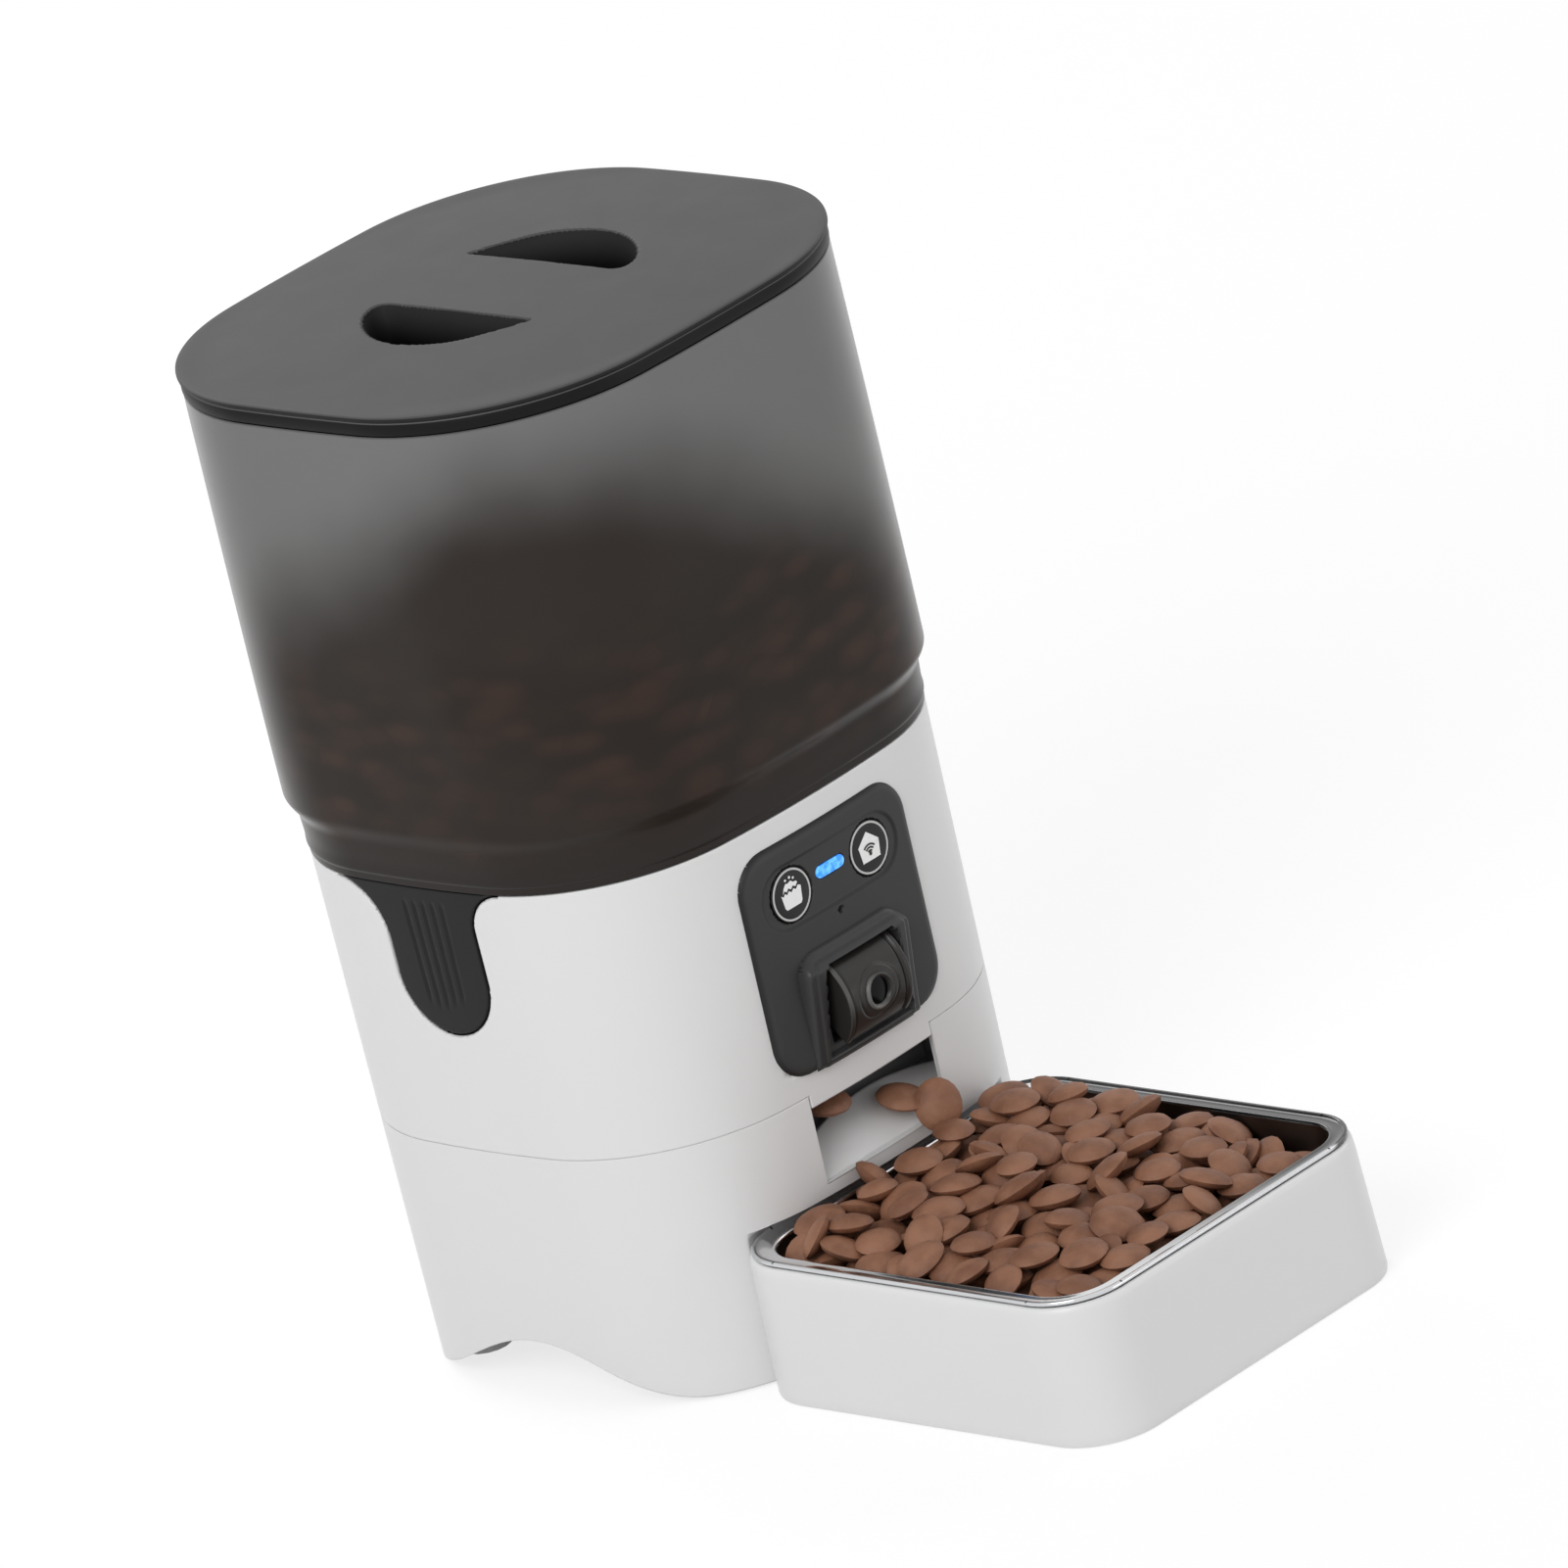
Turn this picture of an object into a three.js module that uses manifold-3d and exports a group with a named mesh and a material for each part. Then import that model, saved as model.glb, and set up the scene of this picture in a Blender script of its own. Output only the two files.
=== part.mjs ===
// Camera pet feeder: a smoky hopper on a white base with a camera panel, a chute and a bowl tray.
// Millimetres, +Z up. The front, with the panel and the bowl, faces -Y.
// The origin lies on the floor under the middle of the whole footprint.
import * as THREE from 'three';
import { mergeVertices } from 'three/addons/utils/BufferGeometryUtils.js';
import Module from 'manifold-3d';

const wasm = await Module();
wasm.setup();

// Driving dimensions

// gaps between pieces, and how far a cutter runs past what it cuts
const fit = { gap: 0.3, slide: 0.5, seam: 0.4, overrun: 3 };

// counts that set how finely round shapes are faceted
const steps = { side: 4, corner: 7, box: 5, round: 24, small: 16, tiny: 10, arch: 14, dog: 6 };

const base = {
  halfWidth: 90,
  halfDepth: 82.8,
  sideRadius: 405,
  cornerRadius: 58,
  height: 171.5,
  splitHeight: 83.1,
  wall: 2.6,
  deckThickness: 3,
  draftShare: 0.0127,
  floorGap: 1,
  archHeight: 17.5,
  archHalfSpan: 62,
};

// heights that end in Rise or Drop are counted up or down from the base's top
const hopper = {
  collarRise: 14.5,
  shoulderRise: 19,
  topRise: 152.5,
  collarGrow: 0.9,
  shoulderGrowX: 2.3,
  shoulderGrowY: 4.0,
  wall: 2.2,
  flangeThickness: 2.5,
};

const lid = {
  overhangX: 3.8,
  overhangY: 6.5,
  sideRadius: 785,
  cornerRadius: 66,
  edgeThickness: 1.8,
  edgeRound: 0.7,
  bandHeight: 4.5,
  bandInset: 0.6,
  crown: 1.8,
  plugDepth: 15,
  plugWall: 2,
  plugGap: 2.4,
  sealHeight: 4,
  sealDrop: 6,
};

// finger wells: straight inner wall at gripHalfWidth, outer wall bulging outwards by reach
const well = { gripHalfWidth: 19.6, reach: 25.4, halfLength: 32.5, depth: 15, wall: 1.8 };

const desiccant = {
  radius: 17,
  depth: 20,
  wall: 1.6,
  capThickness: 3,
  capGrow: 1.6,
  slotWidth: 3,
  slotLength: 18,
  slotPitch: 7,
};

const drum = {
  y: 12,
  radius: 56,
  wall: 2.4,
  floorDrop: 29.5,
  floorThickness: 2.5,
  rimRise: 4.5,
  funnelHeight: 16,
  supportWidth: 3,
  supportHeight: 2.5,
  shaftHoleRadius: 9,
  outletRadius: 16,
  outletOffset: 36,
};

const rotor = {
  hubRadius: 10,
  vaneCount: 6,
  vaneThickness: 2.2,
  tipGap: 1.5,
  height: 26,
  floorGap: 0.6,
  socketDepth: 12,
  dogRadius: 5,
  dogGap: 0.3,
  postRadius: 4,
  postHeight: 16,
};

const cover = { thickness: 2, halfAngleShare: 0.1, innerRadius: 12 };
const agitator = { hubRadius: 9, height: 8, armCount: 4, armLength: 36, armThickness: 3, armHeight: 4 };

const chute = {
  halfWidth: 27.4,
  wall: 1.8,
  mouthRise: 8.7,
  mouthHeight: 24.7,
  backSpacing: 19,
  kneeInset: 27.8,
  kneeRise: 27,
  throatSpacing: 54,
  slopeLength: 16.5,
  topDrop: 33,
};

const deck = { bottomDrop: 39, thickness: 2.2, frontInset: 24.8 };

const panel = {
  halfWidth: 37.4,
  mouthMargin: 10.6,
  topDrop: 7.7,
  cornerRadius: 12.5,
  proud: 1.9,
  softEdge: 0.9,
  backInset: 4.2,
  windowMargin: 5,
  recessDepth: 0.6,
  recessHalfLength: 30,
  recessRadius: 10,
  bossRadius: 2.4,
};

const button = {
  radius: 8.5,
  halfSpacing: 17.7,
  panelDrop: 17.4,
  travel: 1,
  proud: 0.2,
  flange: 1.3,
  stemRadius: 3,
};


const light = { halfLength: 6.2, radius: 1.9, buttonRise: 1.6 };
const mic = { holeRadius: 1, radius: 3, length: 3, buttonDrop: 12.6 };
const board = { thickness: 1.6, inset: 10.8, halfWidth: 31, buttonDrop: 16.9, buttonRise: 10.6 };

const hood = {
  halfWidth: 22.9,
  panelMargin: 0.4,
  height: 36.8,
  brow: 6.4,
  lipProud: 5,
  footProud: 1.1,
  mouthHalfWidth: 16.3,
  mouthFlare: 2.2,
  mouthMargin: 2.6,
  cornerRadius: 5,
};

const camera = {
  axisInset: 6.7,
  axisRise: 17.5,
  radius: 16.5,
  hubRadius: 4.5,
  sectorUp: 50,
  sectorDown: 42,
  windowUp: 15,
  windowDown: 12,
  halfWidth: 12,
  chamfer: 1.5,
  runningGap: 0.6,
  pinRadius: 2,
  pinLength: 2.6,
  pinGap: 0.1,
  lensRadius: 7,
  lensProud: 0.6,
  lensDepth: 9,
  glassRadius: 4.7,
  glassDepth: 1.5,
};

const bracket = { earThickness: 2.4, earHeight: 14, backThickness: 2 };
const lamp = { radius: 1.2, length: 2.4, x: 16.2, hoodRise: 5.8 };

const latch = {
  halfWidth: 19,
  length: 49.1,
  flareRadius: 12,
  flareShare: 0.8,
  thickness: 2.4,
  gap: 0.4,
  travel: 2.5,
  ribCount: 5,
  ribPitch: 3.4,
  ribWidth: 1.2,
  ribDepth: 0.6,
  ribMargin: 8,
  plungerWidth: 16,
  plungerHeight: 18,
  plungerDepth: 5,
};

const gearbox = {
  halfWidth: 20,
  frontSpacing: 16.2,
  backSpacing: 32,
  height: 22,
  wall: 2,
  lidThickness: 2,
  deckGap: 0.3,
};

const gear = {
  module: 0.8,
  driveTeeth: 30,
  pinionTeeth: 12,
  width: 8,
  floorGap: 0.5,
  dedendumShare: 1.25,
  backlash: 0.16,
  shaftRadius: 5.6,
  pinionShaftRadius: 1.6,
};

const motor = { radius: 12, height: 34, noseRadius: 4 };
const speaker = {
  radius: 14,
  depth: 7,
  drop: 61.5,
  slotCount: 5,
  slotPitch: 5,
  slotWidth: 2,
  slotLength: 18,
};


const socket = { halfWidth: 5.5, height: 10, depth: 13, holeRadius: 3.4, pinRadius: 1, centreHeight: 70 };

const bay = {
  halfWidth: 54.5,
  length: 66,
  backInset: 12.3,
  wall: 2,
  coverThickness: 2.4,
};

const cell = { radius: 16.6, length: 58, capRadius: 4.5, capLength: 1.2, pitch: 34.6 };
const contact = { thickness: 0.6, height: 26 };

const plate = { bottomHeight: 20, thickness: 2.5 };

const foot = {
  insetX: 27,
  insetY: 32.3,
  radius: 8,
  height: 2.4,
  legRadius: 9.5,
  screwHead: 3,
  screwHeadHeight: 2,
  shank: 1.5,
};


const screw = { length: 18, seatHeight: 15, bossRadius: 4.5, bossTop: 40, counterbore: 4, tipRoom: 1 };

const tray = {
  topHalfWidth: 70,
  bottomHalfWidth: 71,
  rearInset: 12.4,
  topLength: 150.1,
  bottomLength: 151.6,
  cornerRadius: 22,
  height: 45.6,
  wall: 2.5,
  floor: 2.5,
  edgeRound: 1.4,
  rimRoom: 3,
  nicheRoof: 0.9,
  doorHalfWidth: 60,
};

const bowl = {
  rimInset: 1,
  rimWidth: 5.5,
  rimThickness: 1.1,
  wall: 1,
  depth: 36,
  taper: 9,
};

const sensor = { height: 4, width: 6, depth: 3, along: 22 };

// Heights and widths that follow from the sizes above

const lidHalfWidth = base.halfWidth + lid.overhangX;
const lidHalfDepth = base.halfDepth + lid.overhangY;
const collarTop = base.height + hopper.collarRise;
const shoulderHeight = base.height + hopper.shoulderRise;
const hopperTop = base.height + hopper.topRise;
const drumFloor = base.height - drum.floorDrop;
const drumRim = base.height + drum.rimRise;
const deckBottom = base.height - deck.bottomDrop;
const mouthBottom = tray.height + chute.mouthRise;
const mouthTop = mouthBottom + chute.mouthHeight;
const kneeHeight = mouthTop + chute.kneeRise;
const chuteTop = base.height - chute.topDrop;
const slopeTop = chuteTop - chute.slopeLength;
const chuteBackY = drum.y - chute.backSpacing;
const throatFrontY = drum.y - chute.throatSpacing;
const kneeY = chute.kneeInset - base.halfDepth;
const deckFrontY = deck.frontInset - base.halfDepth;
const panelBottom = mouthTop + panel.mouthMargin;
const panelTop = base.height - panel.topDrop;
const buttonHeight = panelTop - button.panelDrop;
const lightHeight = buttonHeight + light.buttonRise;
const micHeight = buttonHeight - mic.buttonDrop;
const boardBottom = buttonHeight - board.buttonDrop;
const boardTop = buttonHeight + board.buttonRise;
const hoodBottom = panelBottom + hood.panelMargin;
const hoodTop = hoodBottom + hood.height;
const lipHeight = hoodTop - hood.brow;
const hoodMouthBottom = hoodBottom + hood.mouthMargin;
const cameraHeight = hoodBottom + camera.axisRise;
const lampHeight = hoodBottom + lamp.hoodRise;
const latchBottom = base.height - latch.length;
const speakerHeight = base.height - speaker.drop;
const panelBackY = panel.backInset - base.halfDepth;
const boardY = board.inset - base.halfDepth;
const cameraY = camera.axisInset - base.halfDepth;
const trayRearY = tray.rearInset - base.halfDepth;
const trayTopY = trayRearY - tray.topLength;
const trayFrontY = trayRearY - tray.bottomLength;
const footX = base.halfWidth - foot.insetX;
const footY = base.halfDepth - foot.insetY;
const bayBackY = base.halfDepth - bay.backInset;
const bayFrontY = bayBackY - bay.length;
const gearboxFrontY = drum.y - gearbox.frontSpacing;
const gearboxBackY = drum.y + gearbox.backSpacing;

// the tower's own axis stands behind the middle of the footprint
const originShift = (-trayFrontY - lidHalfDepth) / 2;
const corners = [[1, 1], [1, -1], [-1, 1], [-1, -1]];

// Basic solids

function toSolid(geometry) {
  const bare = geometry.index ? geometry.toNonIndexed() : geometry.clone();
  bare.deleteAttribute('normal');
  bare.deleteAttribute('uv');
  const merged = mergeVertices(bare);
  const mesh = new wasm.Mesh({
    numProp: 3,
    vertProperties: new Float32Array(merged.attributes.position.array),
    triVerts: new Uint32Array(merged.index.array),
  });
  return new wasm.Manifold(mesh);
}

const join = (first, ...others) => others.reduce((sum, other) => sum.add(other), first);
const cut = (first, ...others) => others.reduce((rest, other) => rest.subtract(other), first);
const common = (first, ...others) => others.reduce((rest, other) => rest.intersect(other), first);

function block(x0, x1, y0, y1, z0, z1) {
  const geometry = new THREE.BoxGeometry(x1 - x0, y1 - y0, z1 - z0);
  geometry.translate((x0 + x1) / 2, (y0 + y1) / 2, (z0 + z1) / 2);
  return toSolid(geometry);
}

// an outline drawn in the plane of u and v, extruded along w
function extrude(outline, from, to, u, v, w) {
  const shape = new THREE.Shape(outline.map(([a, b]) => new THREE.Vector2(a, b)));
  const geometry = new THREE.ExtrudeGeometry(shape, { depth: to - from, bevelEnabled: false });
  geometry.translate(0, 0, from);
  geometry.applyMatrix4(new THREE.Matrix4().makeBasis(u, v, w));
  return toSolid(geometry);
}

const X = new THREE.Vector3(1, 0, 0);
const Y = new THREE.Vector3(0, 1, 0);
const Z = new THREE.Vector3(0, 0, 1);
const upright = (outline, z0, z1) => extrude(outline, z0, z1, X, Y, Z);
const sideways = (outline, x0, x1) => extrude(outline, x0, x1, Y, Z, X);
const frontal = (outline, y0, y1) => extrude(outline, -y1, -y0, X, Z, Y.clone().negate());

function circle(radius, count, cx = 0, cy = 0) {
  return Array.from({ length: count }, (_, i) => {
    const angle = (2 * Math.PI * i) / count;
    return [cx + radius * Math.cos(angle), cy + radius * Math.sin(angle)];
  });
}

// a closed solid through level rings that all have the same number of points
function loft(rings) {
  const count = rings[0].outline.length;
  const points = rings.flatMap(({ outline, z }) => outline.map(([x, y]) => [x, y, z]));
  const faces = [];
  for (let r = 0; r + 1 < rings.length; r += 1) {
    for (let i = 0; i < count; i += 1) {
      const next = (i + 1) % count;
      const low = r * count;
      const high = low + count;
      faces.push([low + i, low + next, high + next], [low + i, high + next, high + i]);
    }
  }
  const capOf = (ring) => THREE.ShapeUtils.triangulateShape(
    ring.outline.map(([x, y]) => new THREE.Vector2(x, y)), []);
  const top = (rings.length - 1) * count;
  capOf(rings[0]).forEach(([a, b, c]) => faces.push([a, c, b]));
  capOf(rings[rings.length - 1]).forEach(([a, b, c]) => faces.push([top + a, top + b, top + c]));
  const geometry = new THREE.BufferGeometry();
  const flat = faces.flatMap((face) => face.flatMap((index) => points[index]));
  geometry.setAttribute('position', new THREE.BufferAttribute(new Float32Array(flat), 3));
  return toSolid(geometry);
}

function turned(profile, count, cx = 0, cy = 0) {
  const geometry = new THREE.LatheGeometry(profile.map(([r, z]) => new THREE.Vector2(r, z)), count);
  geometry.rotateX(Math.PI / 2);
  geometry.translate(cx, cy, 0);
  return toSolid(geometry);
}

// Outlines

// a rectangle with bowed sides: side arcs of sideRadius meet corner arcs of cornerRadius smoothly
function bowedOutline(halfWidth, halfDepth, sideRadius, cornerRadius) {
  const east = [halfWidth - sideRadius, 0];
  const north = [0, halfDepth - sideRadius];
  const reach = sideRadius - cornerRadius;
  const across = [north[0] - east[0], north[1] - east[1]];
  const span = Math.hypot(across[0], across[1]);
  const rise = Math.sqrt(reach * reach - (span * span) / 4);
  const corner = [
    (east[0] + north[0]) / 2 - (across[1] / span) * rise,
    (east[1] + north[1]) / 2 + (across[0] / span) * rise,
  ];
  const start = Math.atan2(corner[1] - east[1], corner[0] - east[0]);
  const end = Math.atan2(corner[1] - north[1], corner[0] - north[0]);
  const arc = (centre, radius, a0, a1, count) => Array.from({ length: count }, (_, i) => {
    const angle = a0 + ((a1 - a0) * i) / count;
    return [centre[0] + radius * Math.cos(angle), centre[1] + radius * Math.sin(angle)];
  });
  const half = steps.side / 2;
  const quarter = [
    ...arc(east, sideRadius, 0, start, half),
    ...arc(corner, cornerRadius, start, end, steps.corner),
    ...arc(north, sideRadius, end, Math.PI / 2, half),
  ];
  const mirrored = quarter.slice(1).map(([x, y]) => [-x, y]).reverse();
  const northPoint = [[0, halfDepth]];
  const upper = [...quarter, ...northPoint, ...mirrored];
  const west = [[-halfWidth, 0]];
  const lower = [...quarter.slice(1), ...northPoint, ...mirrored].map(([x, y]) => [-x, -y]);
  return [...upper, ...west, ...lower];
}

// a rectangle with round corners, its points running counter-clockwise
function roundedBox(x0, x1, y0, y1, radius, count = steps.box) {
  const centres = [[x1 - radius, y1 - radius], [x0 + radius, y1 - radius],
    [x0 + radius, y0 + radius], [x1 - radius, y0 + radius]];
  return centres.flatMap(([cx, cy], quarter) => Array.from({ length: count + 1 }, (_, i) => {
    const angle = (Math.PI / 2) * (quarter + i / count);
    return [cx + radius * Math.cos(angle), cy + radius * Math.sin(angle)];
  }));
}

// moves every side of a counter-clockwise outline outwards by the same distance
function grow(outline, distance) {
  const count = outline.length;
  return outline.map(([x, y], i) => {
    const before = outline[(i + count - 1) % count];
    const after = outline[(i + 1) % count];
    const first = Math.atan2(y - before[1], x - before[0]) - Math.PI / 2;
    const second = Math.atan2(after[1] - y, after[0] - x) - Math.PI / 2;
    const half = Math.atan2(Math.sin(second - first), Math.cos(second - first)) / 2;
    const stretch = distance / Math.cos(half);
    return [x + stretch * Math.cos(first + half), y + stretch * Math.sin(first + half)];
  });
}

// the base's outline at a height, grown by an offset; the shell narrows evenly towards the floor
function baseOutline(z, offset = 0) {
  const inset = base.draftShare * (base.height - z) - offset;
  return bowedOutline(base.halfWidth - inset, base.halfDepth - inset,
    base.sideRadius - inset, base.cornerRadius - inset);
}

const baseLoft = (z0, z1, offset = 0) => loft([
  { outline: baseOutline(z0, offset), z: z0 },
  { outline: baseOutline(z1, offset), z: z1 },
]);

// how far forward the base's front face lies at a place x, z, grown by an offset
function frontFaceY(x, z, offset = 0) {
  const inset = base.draftShare * (base.height - z) - offset;
  const radius = base.sideRadius - inset;
  return -(base.halfDepth - inset) + radius - Math.sqrt(radius * radius - x * x);
}

function lidOutline(offset = 0) {
  return bowedOutline(lidHalfWidth + offset, lidHalfDepth + offset,
    lid.sideRadius + offset, lid.cornerRadius + offset);
}

// the hopper's outline at a height: the collar, the shoulder above it and the wall up to the lid
function hopperOutline(z, offset = 0) {
  if (z <= collarTop) {
    const share = (z - base.height) / (collarTop - base.height);
    const g = share * hopper.collarGrow + offset;
    return bowedOutline(base.halfWidth + g, base.halfDepth + g, base.sideRadius + g, base.cornerRadius + g);
  }
  const share = (z - shoulderHeight) / (hopperTop - shoulderHeight);
  const mix = (low, high) => low + (high - low) * share + offset;
  return bowedOutline(
    mix(base.halfWidth + hopper.shoulderGrowX, lidHalfWidth - lid.bandInset),
    mix(base.halfDepth + hopper.shoulderGrowY, lidHalfDepth - lid.bandInset),
    mix(base.sideRadius, lid.sideRadius),
    mix(base.cornerRadius, lid.cornerRadius),
  );
}

const hopperRing = (z, offset) => ({ outline: hopperOutline(z, offset), z });

// Heights and places that several pieces share

const lidTop = hopperTop + fit.gap + lid.bandHeight + fit.gap + lid.edgeThickness;
const lidUnderside = lidTop - lid.edgeThickness;
const hopperBottom = base.height + fit.gap;
const flangeTop = hopperBottom + hopper.flangeThickness;
const drumOuter = drum.radius + drum.wall;
const rotorBottom = drumFloor + rotor.floorGap;
const rotorTop = rotorBottom + rotor.height;
const deckTop = deckBottom + deck.thickness;
const gearboxTop = deckBottom - gearbox.deckGap;
const gearboxBottom = gearboxTop - gearbox.height;
const drivePitch = (gear.module * gear.driveTeeth) / 2;
const pinionPitch = (gear.module * gear.pinionTeeth) / 2;
const pinionY = drum.y + drivePitch + pinionPitch + gear.backlash;
const bayInnerHalf = bay.halfWidth - bay.wall;
const coverTop = plate.bottomHeight + bay.coverThickness;
const bayTop = coverTop + 2 * (fit.gap + cell.radius);

// Lid

const wellShares = [
  [0, 1], [0.39, 0.81], [0.81, 0.51], [1, 0.06], [0.94, -0.36], [0.7, -0.7], [0.43, -0.91],
  [0.21, -0.99], [0.05, -0.97], [0, -0.88],
];

// the well on one side; the other is the same shape turned half way round
function wellOutline(side, offset = 0) {
  const outline = wellShares
    .map(([out, along]) => [well.gripHalfWidth + out * well.reach, along * well.halfLength])
    .reverse();
  return grow(outline, offset).map(([x, y]) => [side * x, side * y]);
}

function makeLidCover() {
  const inset = (share) => -share * lid.cornerRadius;
  const crownShares = [0.12, 0.36, 0.62];
  const crownRings = crownShares.map((share) => ({
    outline: lidOutline(inset(share)),
    z: lidTop + lid.crown * (1 - (1 - share) ** 2),
  }));
  const plateSolid = loft([
    { outline: lidOutline(-lid.edgeRound), z: lidUnderside },
    { outline: lidOutline(), z: lidUnderside + lid.edgeRound },
    { outline: lidOutline(), z: lidTop - lid.edgeRound },
    { outline: lidOutline(-lid.edgeRound), z: lidTop },
    ...crownRings,
  ]);
  const wellFloor = lidTop - well.depth;
  const cups = [1, -1].map((side) => upright(wellOutline(side, well.wall), wellFloor - well.wall, lidTop));
  const wellTop = lidTop + lid.crown + fit.overrun;
  const wells = [1, -1].map((side) => upright(wellOutline(side), wellFloor, wellTop));
  return cut(join(plateSolid, ...cups), ...wells);
}

const plugOffset = -(hopper.wall + lid.plugGap);

function makeLidSkirt() {
  const bandBottom = hopperTop + fit.gap;
  const bandTop = bandBottom + lid.bandHeight;
  const plugTopOutline = hopperOutline(hopperTop, plugOffset);
  const plugBottomOutline = hopperOutline(hopperTop - lid.plugDepth, plugOffset);
  const inner = (outline) => grow(outline, -lid.plugWall);
  const band = loft([
    { outline: lidOutline(-lid.bandInset), z: bandBottom },
    { outline: lidOutline(-lid.bandInset), z: bandTop },
  ]);
  const plug = loft([
    { outline: plugBottomOutline, z: hopperTop - lid.plugDepth },
    { outline: plugTopOutline, z: bandTop - lid.edgeRound },
  ]);
  const hollow = loft([
    { outline: inner(plugBottomOutline), z: hopperTop - lid.plugDepth - fit.overrun },
    { outline: inner(plugTopOutline), z: bandTop + fit.overrun },
  ]);
  return cut(join(band, plug), hollow);
}

function makeLidSeal() {
  const top = hopperTop - lid.sealDrop;
  const bottom = top - lid.sealHeight;
  const ring = (offset, z) => ({ outline: hopperOutline(z, offset), z });
  const outer = loft([ring(-hopper.wall - fit.gap, bottom), ring(-hopper.wall - fit.gap, top)]);
  const hole = loft([
    ring(plugOffset + fit.gap, bottom - fit.overrun),
    ring(plugOffset + fit.gap, top + fit.overrun),
  ]);
  return cut(outer, hole);
}

const desiccantTop = lidUnderside - fit.gap;
const desiccantBottom = desiccantTop - desiccant.depth;

function makeDesiccantCup() {
  const inside = desiccant.radius - desiccant.wall;
  return cut(
    upright(circle(desiccant.radius, steps.round), desiccantBottom, desiccantTop),
    upright(circle(inside, steps.round), desiccantBottom - fit.overrun, desiccantTop - desiccant.wall),
  );
}

function makeDesiccantCap() {
  const top = desiccantBottom - fit.gap;
  const bottom = top - desiccant.capThickness;
  const disc = upright(circle(desiccant.radius + desiccant.capGrow, steps.round), bottom, top);
  const slots = [-1, 0, 1].map((place) => {
    const x = place * desiccant.slotPitch;
    return block(x - desiccant.slotWidth / 2, x + desiccant.slotWidth / 2,
      -desiccant.slotLength / 2, desiccant.slotLength / 2, bottom - fit.overrun, top + fit.overrun);
  });
  return cut(disc, ...slots);
}

// Hopper

function makeHopper() {
  const levels = [hopperBottom, collarTop, shoulderHeight, hopperTop];
  const outer = loft(levels.map((z) => hopperRing(z, 0)));
  const inner = loft([
    hopperRing(flangeTop, -hopper.wall),
    hopperRing(collarTop, -hopper.wall),
    hopperRing(shoulderHeight, -hopper.wall),
    hopperRing(hopperTop + fit.overrun, -hopper.wall),
  ]);
  const mouth = upright(circle(drumOuter + fit.slide, steps.round, 0, drum.y),
    hopperBottom - fit.overrun, flangeTop + fit.overrun);
  return cut(outer, inner, mouth);
}

// the points where a circle round the drum's axis meets the rays to an outline's points
function circleLike(outline, radius) {
  return outline.map(([x, y]) => {
    const angle = Math.atan2(y - drum.y, x);
    return [radius * Math.cos(angle), drum.y + radius * Math.sin(angle)];
  });
}

function makeHopperFloor() {
  const funnelTop = drumRim + drum.funnelHeight;
  const wideOutline = hopperOutline(funnelTop, -hopper.wall - fit.gap);
  const shell = (radius, shift) => [
    { outline: circleLike(wideOutline, radius), z: drumFloor - drum.floorThickness + shift },
    { outline: circleLike(wideOutline, radius), z: drumRim },
  ];
  const outer = loft([
    ...shell(drumOuter, 0),
    { outline: wideOutline, z: funnelTop },
    { outline: wideOutline, z: funnelTop + drum.supportHeight },
  ]);
  const hollow = loft([
    { outline: circleLike(wideOutline, drum.radius), z: drumFloor },
    { outline: circleLike(wideOutline, drum.radius), z: drumRim + drum.wall },
    { outline: grow(wideOutline, -drum.wall), z: funnelTop + drum.wall },
    { outline: grow(wideOutline, -drum.wall), z: funnelTop + drum.supportHeight + fit.overrun },
  ]);
  const supportTop = flangeTop + fit.gap + drum.supportHeight;
  const support = upright(circle(drumOuter + drum.supportWidth, steps.round, 0, drum.y),
    flangeTop + fit.gap, supportTop);
  const outlet = upright(circle(drum.outletRadius, steps.round, 0, drum.y - drum.outletOffset),
    drumFloor - drum.floorThickness - fit.overrun, drumFloor + fit.overrun);
  const shaftHole = upright(circle(drum.shaftHoleRadius, steps.round, 0, drum.y),
    drumFloor - drum.floorThickness - fit.overrun, drumFloor + fit.overrun);
  return cut(join(outer, support), hollow, outlet, shaftHole);
}

// a plate over the outlet, so that only what lies between the rotor's vanes can drop
function makePortionCover() {
  const half = cover.halfAngleShare * 2 * Math.PI;
  const outerRadius = drum.radius - fit.gap;
  const arc = (radius, a0, a1) => Array.from({ length: steps.tiny + 1 }, (_, i) => {
    const angle = a0 + ((a1 - a0) * i) / steps.tiny;
    return [radius * Math.cos(angle), drum.y + radius * Math.sin(angle)];
  });
  const down = -Math.PI / 2;
  const outline = [
    ...arc(outerRadius, down - half, down + half),
    ...arc(cover.innerRadius, down + half, down - half),
  ];
  const bottom = rotorTop + rotor.floorGap;
  return upright(outline, bottom, bottom + cover.thickness);
}

function makeRotor() {
  const hub = upright(circle(rotor.hubRadius, steps.round, 0, drum.y), rotorBottom, rotorTop);
  const post = upright(circle(rotor.postRadius, steps.small, 0, drum.y), rotorTop - fit.overrun,
    rotorTop + rotor.postHeight);
  const reach = drum.radius - rotor.tipGap;
  const vanes = Array.from({ length: rotor.vaneCount }, (_, i) => {
    const angle = ((i + 1 / 2) * 2 * Math.PI) / rotor.vaneCount;
    const [c, s] = [Math.cos(angle), Math.sin(angle)];
    const half = rotor.vaneThickness / 2;
    const corners = [[0, -half], [reach, -half], [reach, half], [0, half]];
    return upright(corners.map(([x, y]) => [x * c - y * s, drum.y + x * s + y * c]), rotorBottom, rotorTop);
  });
  const dogHole = upright(circle(rotor.dogRadius + rotor.dogGap, steps.dog, 0, drum.y),
    rotorBottom - fit.overrun, rotorBottom + rotor.socketDepth);
  return cut(join(hub, post, ...vanes), dogHole);
}

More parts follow.
